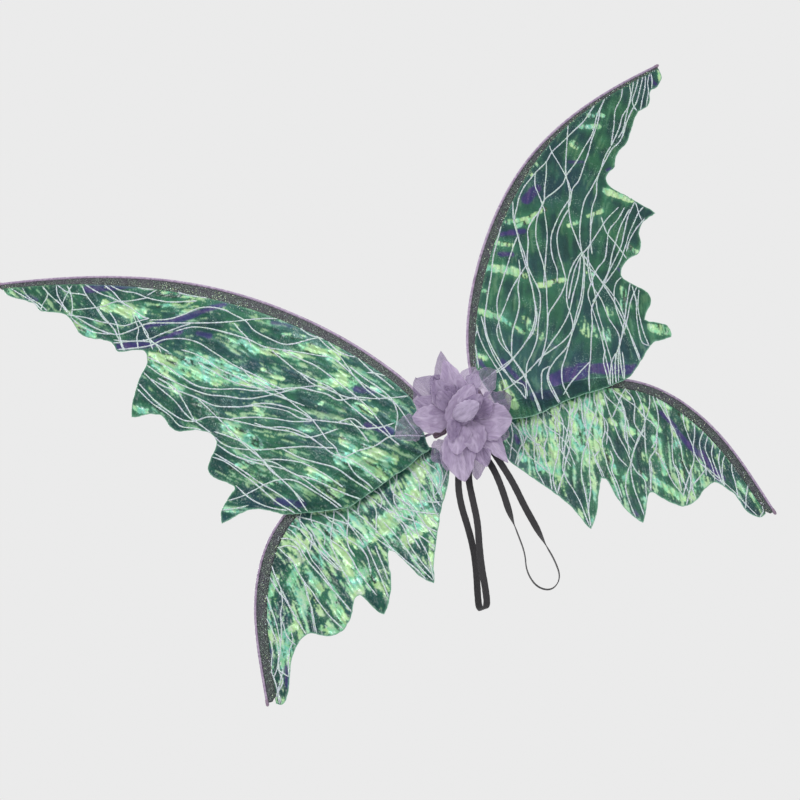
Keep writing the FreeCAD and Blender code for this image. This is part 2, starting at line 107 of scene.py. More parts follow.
# Ragged outer edge of each film, from the tip round to the root, then up the
# inner edge to the root end of the hem.
EDGE = {
 "upper_left": [(510.8, 440.6), (505.9, 428.8), (480.0, 406.4), (470.5, 395.4), (467.1, 386.1), (432.8, 361.1),
  (421.5, 328.4), (415.0, 319.2), (383.8, 297.6), (380.2, 289.9), (378.9, 280.4), (353.7, 270.1), (344.5, 264.8),
  (340.5, 258.4), (341.5, 251.5), (344.2, 244.2), (360.5, 230.3), (371.4, 218.2), (380.4, 206.6), (388.6, 188.9),
  (377.3, 184.9), (365.7, 182.2), (355.0, 177.1), (347.8, 170.8), (344.3, 163.4), (341.7, 153.6), (336.9, 145.6),
  (329.7, 140.0), (317.1, 136.1), (304.0, 129.9), (294.5, 122.5), (288.5, 114.0), (287.3, 105.1), (291.7, 97.3),
  (300.6, 90.3), (308.1, 82.6), (310.8, 75.5), (307.8, 67.2), (300.5, 58.2), (285.1, 42.8), (285.2, 38.7),
  (290.9, 35.8), (309.2, 23.5), (314.5, 17.6), (317.2, 6.5), (279.2, 7.1), (268.6, 3.6), (256.1, -2.8),
  (235.4, -18.4), (226.6, -22.4), (181.7, -38.7), (155.8, -46.5), (146.2, -47.6), (134.0, -45.8), (103.5, -41.1),
  (87.9, -37.7), (58.2, -34.1), (42.3, -29.6), (27.4, -27.3), (28.0, -10.5), (27.5, 12.0), (25.0, 28.0)],
 "upper_right": [(513.9, 412.0), (513.6, 404.8), (510.4, 396.2), (501.6, 387.7), (491.6, 382.6), (483.4, 380.6),
  (469.9, 362.8), (460.8, 356.0), (452.7, 354.1), (441.4, 349.4), (434.9, 343.9), (409.7, 317.2), (399.3, 307.7),
  (379.6, 296.7), (368.6, 285.8), (360.7, 274.5), (349.9, 270.1), (339.9, 260.9), (338.2, 251.7), (343.4, 242.8),
  (361.5, 226.6), (369.7, 217.0), (381.0, 206.9), (387.8, 197.6), (362.4, 188.6), (353.1, 181.1), (346.9, 173.0),
  (344.5, 162.6), (337.6, 153.2), (330.8, 146.9), (311.4, 141.8), (301.7, 136.2), (292.8, 128.9), (288.3, 120.8),
  (291.2, 114.1), (312.3, 92.7), (315.2, 86.0), (314.4, 78.6), (306.2, 69.9), (297.3, 62.9), (289.2, 54.2),
  (296.5, 49.6), (309.9, 44.2), (319.8, 38.2), (321.2, 31.9), (316.7, 23.9), (287.5, 21.8), (276.6, 17.0),
  (242.2, -7.1), (228.7, -14.0), (223.1, -15.6), (184.1, -20.4), (142.9, -21.7), (122.0, -23.5), (80.6, -30.0),
  (62.2, -30.9), (48.4, -29.2), (30.0, -26.5), (28.0, -10.0), (26.5, 12.0), (23.5, 28.0)],
 "lower_right": [(328.1, -233.0), (319.5, -235.2), (313.1, -232.1), (306.8, -226.1), (303.3, -218.1), (299.3, -197.2),
  (293.0, -188.5), (281.0, -175.3), (274.7, -175.0), (264.8, -178.0), (256.4, -181.4), (248.7, -186.3),
  (238.2, -190.4), (225.8, -192.6), (216.8, -191.5), (207.2, -186.1), (192.8, -172.4), (186.7, -163.8),
  (180.5, -163.6), (165.1, -182.8), (153.1, -195.9), (147.1, -190.1), (141.6, -180.4), (136.8, -166.8),
  (134.0, -155.0), (133.9, -141.2), (131.7, -131.0), (125.7, -128.0), (110.7, -147.3), (99.7, -164.7),
  (88.2, -177.8), (79.8, -184.9), (76.5, -179.9), (74.4, -169.9), (64.8, -145.6), (20.8, -82.2), (16.7, -75.7),
  (12.5, -59.1), (15.0, -40.0), (22.0, -27.0)],
 "lower_left": [(331.0, -227.5), (325.0, -231.5), (314.6, -226.2), (290.9, -183.9), (272.9, -167.9), (264.9, -166.1),
  (255.3, -167.5), (239.3, -178.3), (229.0, -181.3), (220.3, -181.1), (212.4, -179.3), (204.4, -173.6),
  (196.8, -165.1), (191.6, -155.6), (186.9, -151.1), (179.5, -150.4), (174.0, -158.0), (164.0, -179.2),
  (158.8, -184.0), (152.1, -177.9), (146.6, -171.2), (138.9, -158.9), (134.0, -146.7), (131.5, -133.4),
  (127.8, -120.6), (124.4, -115.6), (118.1, -121.0), (99.0, -160.8), (91.7, -170.5), (85.5, -175.8),
  (75.3, -150.5), (48.1, -103.9), (17.2, -58.8), (18.7, -40.0), (23.0, -27.0)],
}

# Elastic shoulder loops: centre-line routes from one anchor round to the other.
LEFT_ROUTE = [(-21.0, -3.4, -40.0), (-21.0, -3.4, -57.0), (-33.6, -5.6, -80.0), (-39.8, -4.4, -106.0),
              (-41.6, -0.6, -133.0), (-45.2, 2.6, -160.0), (-52.4, 3.2, -186.0), (-60.2, 3.6, -208.0),
              (-66.6, 2.4, -228.5), (-57.6, -11.6, -231.0), (-51.4, -13.0, -209.0), (-46.6, -12.2, -186.0),
              (-39.0, -10.6, -160.0), (-29.4, -8.2, -132.0), (-24.4, -6.6, -104.0), (-20.0, -5.2, -80.0),
              (-9.0, -3.4, -58.0), (-9.0, -3.4, -40.0)]
RIGHT_ROUTE = [(9.0, -3.4, -40.0), (9.0, -3.4, -57.0), (13.2, -5.6, -80.0), (12.9, -6.2, -106.0),
               (10.0, -5.0, -136.0), (9.6, -4.2, -164.0), (8.6, -4.0, -187.0), (1.6, -4.8, -207.0),
               (5.4, -5.2, -229.0), (20.8, -5.4, -239.5), (36.4, -5.2, -229.5), (38.0, -4.6, -207.5),
               (34.8, -4.0, -184.0), (32.6, -4.6, -160.0), (29.4, -5.8, -134.0), (28.0, -6.8, -106.0),
               (24.2, -6.2, -80.0), (20.0, -3.4, -57.0), (20.0, -3.4, -40.0)]


STRANDS = {
 "upper_left": [
  [(498, 434), (485, 417), (471, 398), (464, 384)],
  [(482, 428), (479, 414), (465, 394), (458, 381)],
  [(453, 415), (449, 400), (461, 391), (466, 385)],
  [(453, 415), (445, 396), (435, 378), (429, 362)],
  [(433, 405), (435, 393), (431, 372), (426, 360)],
  [(432, 407), (420, 389), (401, 376), (394, 370)],
  [(418, 400), (416, 386), (420, 366), (424, 359)],
  [(410, 395), (427, 383), (434, 376)],
  [(397, 388), (396, 377), (393, 365), (388, 350), (383, 331), (374, 313), (372, 300), (369, 282)],
  [(391, 385), (377, 366), (360, 349), (341, 326), (327, 304), (320, 299)],
  [(366, 372), (357, 357), (350, 339), (345, 330)],
  [(361, 371), (345, 353), (327, 340), (311, 324), (286, 306), (263, 295), (248, 288)],
  [(424, 364), (400, 354), (380, 347), (358, 343), (338, 334), (310, 325)],
  [(429, 362), (416, 347), (404, 331), (384, 310), (369, 300), (348, 296), (326, 294), (296, 280), (266, 265), (236, 250), (210, 239), (184, 229), (162, 219), (145, 208), (133, 194), (120, 174), (111, 166)],
  [(427, 355), (419, 340), (403, 321), (381, 306)],
  [(423, 355), (408, 345), (390, 330), (372, 317), (357, 307), (336, 303), (320, 299)],
  [(386, 349), (381, 330), (374, 313), (372, 304), (370, 278)],
  [(372, 337), (368, 323), (367, 312), (369, 294), (369, 282)],
  [(340, 317), (340, 305), (340, 292), (346, 283), (349, 268)],
  [(337, 313), (334, 297), (330, 283), (330, 271), (330, 258)],
  [(313, 329), (295, 329), (287, 327), (274, 315), (253, 298), (232, 284), (214, 273)],
  [(331, 354), (310, 337), (287, 326), (262, 309)],
  [(321, 297), (294, 285), (273, 281), (252, 279), (233, 271), (216, 258), (207, 247), (195, 232), (189, 216), (174, 197), (156, 179), (141, 173), (122, 169), (111, 166)],
  [(379, 297), (361, 286), (333, 274), (316, 272), (291, 269), (266, 265)],
  [(378, 282), (356, 273), (332, 265), (311, 263), (284, 251), (267, 237), (250, 214), (230, 186), (209, 162), (192, 141), (177, 124)],
  [(373, 290), (349, 280), (327, 267), (315, 251), (309, 244)],
  [(333, 299), (332, 280), (322, 258), (320, 249)],
  [(292, 266), (268, 260), (246, 247), (226, 231), (213, 220), (200, 208), (182, 188), (162, 174), (142, 161), (122, 147), (103, 133), (93, 116), (84, 97), (76, 77), (64, 56)],
  [(211, 237), (207, 225), (200, 208), (200, 197)],
  [(338, 250), (319, 228), (305, 207), (287, 184), (263, 168), (237, 156), (216, 143), (198, 135), (180, 128), (158, 119), (142, 107), (126, 94), (115, 81), (93, 74), (70, 61), (46, 51), (24, 43)],
  [(345, 243), (331, 222), (315, 204), (296, 184), (277, 167), (255, 154), (231, 139), (205, 130), (181, 124), (158, 119), (133, 109), (117, 97)],
  [(350, 231), (340, 210), (324, 181), (315, 157), (307, 145), (287, 140), (265, 127), (242, 110), (219, 93), (194, 81), (172, 61), (156, 38), (146, 22), (134, 12), (114, 11), (91, 7), (70, 9), (49, 1), (33, -7)],
  [(362, 221), (350, 194), (336, 171), (321, 152), (307, 143)],
  [(347, 225), (332, 206), (312, 188), (293, 170), (274, 150), (249, 136), (223, 125), (203, 113), (183, 98), (172, 84), (155, 73), (132, 59), (112, 46), (94, 32), (76, 25), (57, 22)],
  [(368, 219), (355, 193), (338, 168), (328, 147), (307, 133), (288, 113)],
  [(293, 170), (283, 150), (273, 129), (262, 104), (250, 79), (237, 57), (226, 32), (214, 7), (203, -17)],
  [(307, 145), (293, 123), (278, 96), (254, 79), (229, 67), (203, 57), (178, 47), (161, 38), (140, 27)],
  [(288, 102), (274, 82), (259, 67), (236, 49), (213, 32), (193, 9), (180, -12), (165, -34), (150, -60)],
  [(286, 119), (267, 102), (249, 82), (239, 62), (231, 39), (221, 22), (212, 3), (205, -23)],
  [(301, 91), (285, 76), (269, 52), (253, 26), (238, -1), (224, -19)],
  [(290, 86), (270, 60), (251, 32), (229, 3), (216, -19)],
  [(283, 43), (269, 17), (248, -4), (228, -17)],
  [(299, 29), (279, 26), (262, 26), (241, 26), (221, 22), (204, 12), (187, -9), (171, -31), (159, -52), (153, -66)],
  [(310, 21), (287, 14), (275, 12)],
  [(260, 75), (248, 62), (224, 47), (204, 22), (182, 4), (162, -17), (141, -38), (123, -53)],
  [(211, 159), (197, 140), (183, 121), (170, 99), (158, 78), (152, 60), (147, 42), (140, 27), (139, 11)],
  [(223, 181), (212, 155), (194, 135), (176, 126)],
  [(176, 182), (164, 159), (151, 137), (134, 117), (117, 97), (108, 77), (94, 51), (82, 30), (70, 9), (61, -7)],
  [(162, 174), (145, 154), (127, 134), (112, 110), (97, 84), (83, 57), (74, 30), (67, 7)],
  [(111, 166), (104, 150), (94, 133), (89, 115), (84, 97), (74, 80), (61, 62), (48, 44), (40, 14), (35, -4)],
  [(103, 163), (95, 141), (84, 128), (68, 116), (50, 99), (41, 81), (30, 70), (20, 54)],
  [(78, 133), (72, 118), (63, 98), (51, 77), (42, 60)],
  [(68, 96), (58, 90), (46, 80), (31, 67)],
  [(86, 113), (74, 92), (59, 69), (50, 49), (50, 30), (61, 12)],
  [(110, 51), (102, 32), (97, 14)],
  [(129, 56), (106, 51), (94, 32), (83, 28)],
  [(143, 20), (128, 6), (115, -12), (103, -33), (91, -53)],
  [(132, 7), (128, -13), (116, -34), (108, -56), (99, -83)],
  [(258, 124), (229, 112), (204, 98), (181, 83), (156, 72)],
  [(234, 130), (211, 123), (188, 108), (169, 91), (158, 76)],
  [(231, 105), (212, 88), (189, 73), (170, 56), (151, 51), (128, 48)],
  [(207, 58), (190, 38), (171, 22), (149, 4), (134, -18), (118, -41), (109, -58)],
  [(276, 213), (259, 190), (241, 169), (222, 152), (201, 138)],
  [(336, 220), (318, 195), (311, 167), (307, 145)],
  [(293, 240), (273, 222), (250, 190), (229, 167), (209, 142), (184, 118), (159, 94)],
  [(151, 137), (139, 115), (124, 100), (103, 79), (81, 64)],
  [(237, 57), (212, 45), (189, 30), (166, 4), (148, -23)],
 ],
 "upper_right": [
  [(497, 405), (493, 394), (486, 383)],
  [(493, 404), (484, 392), (479, 380), (465, 361)],
  [(485, 401), (475, 385), (462, 369), (451, 355)],
  [(478, 399), (465, 383), (451, 367), (431, 351), (412, 333), (396, 316)],
  [(469, 397), (458, 384), (445, 370), (442, 361), (443, 352)],
  [(460, 395), (450, 381), (437, 366), (421, 347), (404, 327), (391, 317)],
  [(453, 394), (447, 378), (436, 364), (415, 348), (400, 331), (373, 307)],
  [(439, 391), (429, 377), (409, 359), (394, 336), (373, 307)],
  [(417, 340), (404, 323), (388, 310), (373, 303), (355, 289), (337, 274), (325, 261), (313, 241), (298, 225), (281, 199), (269, 176), (262, 159)],
  [(373, 307), (355, 293), (337, 274), (311, 252), (292, 237), (272, 212), (258, 189), (249, 166), (244, 149), (230, 123), (213, 98), (195, 78), (175, 58), (155, 35), (138, 16), (130, -3), (130, -20), (129, -36)],
  [(403, 381), (385, 363), (376, 351), (361, 334), (348, 321), (331, 301), (322, 292), (297, 266), (284, 258), (272, 245), (249, 228), (235, 216), (217, 198), (209, 185), (202, 165), (200, 148), (191, 132)],
  [(398, 376), (378, 358), (355, 331), (332, 313), (308, 294), (284, 278), (272, 267), (254, 258), (232, 249), (220, 237), (199, 223), (186, 211), (179, 195), (166, 173), (156, 146), (150, 123), (140, 98), (124, 77), (103, 61), (83, 49), (61, 41), (40, 34)],
  [(381, 373), (350, 351), (328, 340), (301, 326), (279, 315), (264, 303), (243, 292), (228, 283), (211, 272), (198, 260), (188, 247), (176, 231), (170, 211), (167, 197), (166, 183), (162, 166), (161, 149), (160, 125), (151, 105), (139, 87), (124, 63), (108, 47), (96, 36), (85, 18), (74, -6)],
  [(329, 358), (317, 338), (305, 318), (291, 294), (283, 277), (275, 252), (263, 232), (254, 208), (251, 187), (249, 166), (252, 147), (254, 129), (257, 106), (259, 81), (259, 56), (259, 35), (256, 3)],
  [(280, 324), (279, 314), (281, 296), (282, 275), (277, 251), (264, 232)],
  [(264, 303), (255, 286), (242, 266), (230, 246), (219, 237), (206, 222), (193, 199), (188, 179), (184, 158), (176, 135), (167, 116), (155, 91), (141, 66), (128, 49), (113, 32)],
  [(240, 292), (230, 272), (228, 254), (226, 240), (219, 219), (209, 196), (195, 173), (182, 151), (169, 130)],
  [(182, 248), (173, 228), (169, 209), (163, 184), (159, 163), (155, 140), (148, 117), (140, 94), (124, 74), (108, 64), (82, 48), (66, 40), (47, 34)],
  [(146, 218), (132, 201), (120, 186), (104, 161), (89, 140), (77, 122), (67, 107), (60, 85), (59, 65), (61, 44), (64, 20), (68, 6), (71, -8)],
  [(167, 206), (146, 184), (130, 166), (109, 143), (95, 125), (87, 106), (81, 87), (78, 67), (81, 46), (85, 25), (85, 5), (82, -21)],
  [(162, 166), (140, 150), (122, 136), (105, 119), (88, 102), (76, 88), (73, 72), (78, 54), (83, 29), (85, -9), (83, -28)],
  [(154, 175), (146, 156), (133, 137), (124, 115), (113, 100), (98, 83), (87, 65), (78, 47)],
  [(53, 104), (49, 88), (48, 71), (50, 54), (53, 33), (53, 16)],
  [(52, 97), (41, 83), (34, 64), (28, 46)],
  [(64, 111), (60, 92), (57, 76), (56, 56), (59, 38), (67, 19), (77, 10), (71, -8)],
  [(261, 229), (242, 214), (225, 196), (215, 173), (211, 152), (205, 132), (191, 117), (173, 104), (158, 93), (147, 75)],
  [(249, 166), (228, 152), (213, 137), (200, 119), (191, 100), (188, 83), (182, 67), (162, 54), (139, 46), (120, 40), (102, 31), (83, 22), (61, 14), (45, 10)],
  [(244, 160), (227, 135), (206, 111), (186, 87), (162, 68), (139, 53), (121, 40), (109, 29)],
  [(251, 162), (234, 133), (215, 105), (195, 82), (175, 58), (160, 44), (134, 30), (115, 14), (111, -1), (112, -19)],
  [(337, 217), (311, 204), (286, 187), (261, 170), (247, 162), (227, 145), (212, 127), (196, 106)],
  [(346, 215), (328, 201), (305, 187), (291, 168), (277, 149), (259, 138), (240, 121), (227, 106), (223, 86), (220, 65), (215, 42), (208, 19), (203, -0), (197, -16)],
  [(352, 211), (326, 190), (308, 171), (291, 153), (277, 135), (259, 117), (237, 100), (222, 86), (213, 67), (200, 46), (187, 24), (174, 4), (163, -18)],
  [(365, 219), (344, 201), (328, 182), (312, 163), (289, 143), (268, 126), (256, 117)],
  [(367, 221), (362, 197), (362, 190)],
  [(377, 211), (363, 203), (350, 192), (333, 177), (319, 162), (294, 138), (270, 122), (252, 111), (228, 95)],
  [(368, 193), (348, 182), (328, 167), (314, 152)],
  [(304, 209), (300, 184), (305, 165), (309, 144)],
  [(297, 218), (282, 199), (268, 176), (258, 164), (251, 147), (242, 120), (237, 104), (230, 84), (225, 61), (218, 34), (212, 8), (200, -17)],
  [(253, 158), (246, 141), (240, 121), (242, 92), (240, 68), (242, 43), (233, 24), (225, 5), (217, -17)],
  [(247, 162), (246, 148), (252, 133), (259, 110), (264, 83), (261, 56), (257, 29), (254, 2)],
  [(293, 104), (273, 78), (256, 54), (239, 33), (223, 16), (212, -2), (205, -18)],
  [(302, 100), (283, 83), (266, 62), (256, 50), (242, 36), (228, 18), (217, -3), (209, -17)],
  [(288, 119), (276, 113), (264, 98), (257, 78), (254, 58), (251, 40)],
  [(296, 100), (291, 81), (281, 62), (274, 42), (271, 25), (277, 19)],
  [(304, 96), (290, 74), (283, 54), (279, 34), (278, 20)],
  [(183, 18), (164, 9), (138, -5), (124, -15)],
  [(213, 29), (202, 14), (198, -2), (194, -17)],
  [(234, 25), (217, 14), (203, -4), (196, -17)],
  [(235, 20), (229, 4), (218, -18)],
  [(125, 26), (112, 22), (101, 4), (93, -14)],
  [(125, 26), (115, 11), (114, -9), (114, -29)],
 ],
 "lower_right": [
  [(221, -25), (209, -33), (195, -46), (181, -58)],
  [(199, -18), (204, -29), (214, -43), (222, -55), (226, -69), (232, -79), (234, -89), (225, -103), (214, -110)],
  [(232, -29), (232, -42), (230, -54), (226, -69), (217, -85), (209, -101), (203, -115)],
  [(250, -41), (240, -57), (228, -70), (214, -84), (199, -96), (177, -119), (160, -137), (152, -150), (148, -169), (147, -186)],
  [(252, -49), (249, -64), (241, -81), (228, -98), (220, -112), (204, -123), (196, -139), (187, -157)],
  [(257, -56), (257, -72), (259, -85), (253, -100), (243, -118), (235, -136), (234, -149), (230, -163), (227, -173)],
  [(263, -63), (259, -85), (259, -104), (257, -119), (250, -135), (249, -148), (248, -160), (240, -174), (231, -184)],
  [(284, -76), (278, -90), (275, -108), (273, -126), (264, -142), (251, -154), (239, -166), (225, -180)],
  [(293, -94), (284, -110), (273, -126), (272, -144), (277, -155), (283, -170), (292, -180)],
  [(298, -109), (286, -121), (281, -136), (278, -151), (272, -164)],
  [(301, -117), (290, -130), (288, -148), (285, -163), (280, -174)],
  [(306, -126), (295, -139), (291, -157), (289, -177)],
  [(311, -136), (301, -149), (295, -165), (291, -180)],
  [(316, -142), (304, -155), (296, -168), (292, -180)],
  [(320, -154), (312, -167), (308, -184), (303, -199)],
  [(320, -159), (323, -170), (326, -184), (328, -198), (329, -216)],
  [(322, -194), (314, -204), (308, -213)],
  [(272, -146), (281, -159), (291, -177), (301, -196), (308, -215), (314, -230)],
  [(329, -221), (327, -229), (321, -233)],
  [(188, -17), (183, -35), (180, -52), (179, -65), (177, -85), (178, -103), (177, -121), (178, -134), (183, -146), (176, -164)],
  [(218, -83), (203, -94), (187, -108), (176, -121), (168, -137), (163, -156), (161, -175), (159, -190)],
  [(176, -30), (169, -52), (162, -71), (150, -86), (147, -98), (142, -117), (141, -134), (138, -156)],
  [(198, 1), (181, -19), (168, -39), (154, -53), (142, -66), (129, -81), (114, -97), (103, -114), (97, -133), (92, -151), (84, -174)],
  [(181, 3), (169, -15), (157, -34), (144, -48), (137, -64), (131, -81), (125, -97), (114, -117), (105, -137), (92, -156), (84, -169)],
  [(141, -94), (131, -101), (129, -116), (128, -128)],
  [(132, -89), (131, -106), (131, -122), (130, -129)],
  [(157, 0), (135, -31), (123, -43), (112, -58), (101, -73), (91, -88), (81, -103), (79, -120), (81, -133), (82, -151), (80, -175)],
  [(155, -9), (142, -32), (127, -46), (115, -64), (103, -81), (90, -95), (80, -108), (68, -120), (57, -132)],
  [(130, -3), (118, -26), (106, -39), (100, -55), (93, -71), (83, -86), (70, -100), (61, -113), (57, -132)],
  [(121, -25), (124, -36), (122, -50), (111, -66), (95, -79)],
  [(115, -5), (104, -36), (95, -54), (90, -68), (90, -81), (92, -91)],
  [(93, -10), (81, -32), (71, -48), (60, -63), (50, -80), (46, -94)],
  [(81, -12), (76, -31), (66, -46), (62, -63), (57, -79), (46, -94), (46, -106)],
  [(56, -49), (46, -59), (35, -74), (23, -83)],
  [(41, -30), (37, -44), (27, -59), (17, -74)],
  [(43, -33), (48, -44), (48, -54), (37, -64), (26, -76)],
  [(24, -43), (27, -59), (31, -70), (27, -79)],
  [(104, -5), (86, -39), (83, -56), (71, -70), (64, -86), (61, -103), (56, -117)],
  [(156, -98), (154, -110), (145, -123), (144, -140), (141, -160)],
  [(218, -114), (220, -127), (220, -143), (221, -161), (226, -178)],
  [(236, -139), (236, -155), (236, -170), (235, -183)],
  [(264, -142), (253, -154), (245, -170), (242, -185)],
  [(277, -155), (260, -164), (244, -172), (232, -182)],
  [(206, -121), (198, -140), (186, -157)],
  [(311, -133), (316, -145), (319, -156), (324, -173), (329, -190), (334, -212)],
  [(205, -38), (200, -57), (193, -76), (185, -95), (179, -111)],
  [(162, -71), (163, -84), (162, -97), (163, -110), (169, -124)],
 ],
 "lower_left": [
  [(236, -32), (226, -41), (221, -53), (214, -68), (207, -83), (201, -95), (193, -112)],
  [(225, -22), (218, -40), (214, -56), (212, -69), (208, -87), (201, -100), (195, -111)],
  [(244, -30), (235, -42), (230, -56), (225, -70), (223, -85), (218, -99), (214, -115), (210, -130)],
  [(253, -43), (244, -47), (235, -56), (231, -72), (227, -88), (220, -105), (213, -124), (205, -144), (198, -163)],
  [(260, -52), (245, -56), (236, -65), (234, -80)],
  [(260, -52), (254, -64), (248, -76), (245, -94), (242, -107), (237, -121), (233, -137), (226, -158), (216, -178)],
  [(276, -66), (276, -80), (275, -97), (273, -114), (271, -129), (268, -147), (264, -163)],
  [(283, -85), (279, -103), (274, -116), (271, -136), (267, -152), (264, -164)],
  [(296, -105), (296, -119), (296, -133), (298, -151), (302, -168), (310, -183), (313, -197)],
  [(275, -100), (279, -117), (287, -130), (288, -146), (288, -159), (282, -171)],
  [(306, -128), (304, -146), (304, -160), (308, -177), (315, -190), (324, -198)],
  [(287, -130), (292, -146), (299, -162), (309, -179), (313, -191), (307, -200)],
  [(281, -155), (283, -166), (292, -176), (298, -188), (301, -198)],
  [(241, -105), (244, -120), (245, -134), (248, -149), (252, -168)],
  [(245, -94), (243, -109), (245, -124), (245, -138), (247, -152), (250, -170)],
  [(311, -152), (313, -167), (320, -181), (324, -195)],
  [(314, -186), (313, -197), (313, -207), (323, -216)],
  [(307, -193), (316, -205), (323, -216), (324, -225)],
  [(323, -196), (323, -209), (325, -220)],
  [(158, -95), (154, -111), (155, -124), (156, -133)],
  [(149, -99), (148, -114), (147, -130), (146, -147), (146, -165)],
  [(139, -104), (139, -117), (138, -134), (139, -148)],
  [(192, -71), (176, -96), (171, -122), (165, -143), (159, -160)],
  [(215, -32), (201, -43), (188, -56), (178, -67), (170, -80), (160, -94)],
  [(196, -30), (188, -41), (173, -55), (162, -65), (154, -78), (146, -96)],
  [(211, -48), (206, -74), (197, -96), (189, -116), (186, -134)],
  [(141, -84), (126, -109), (116, -123), (108, -138), (99, -154), (93, -168)],
  [(119, -80), (107, -111), (102, -129), (95, -151), (86, -171)],
  [(109, -66), (97, -99), (97, -122), (91, -146), (84, -165)],
  [(88, -64), (82, -92), (83, -119), (80, -144), (84, -171)],
  [(26, -45), (27, -61), (36, -76), (38, -89)],
  [(22, -61), (35, -74), (50, -81)],
  [(48, -14), (44, -30), (44, -53), (40, -74), (39, -91)],
  [(81, -60), (65, -76), (54, -84), (41, -90)],
  [(98, -71), (81, -83), (69, -91), (57, -98), (50, -101)],
  [(106, -72), (92, -87), (81, -97), (71, -108), (59, -121)],
  [(142, -22), (125, -44), (116, -60), (105, -77), (95, -93), (86, -109), (77, -122), (69, -135)],
  [(158, -38), (146, -58), (137, -74), (129, -92), (122, -111)],
  [(114, -16), (107, -48), (102, -69), (97, -87), (91, -109), (86, -132)],
  [(90, -18), (85, -44), (83, -64), (76, -85), (70, -107), (64, -128)],
  [(177, -34), (165, -54), (158, -76), (152, -98)],
  [(69, -18), (61, -46), (53, -77), (51, -101)],
 ],
}
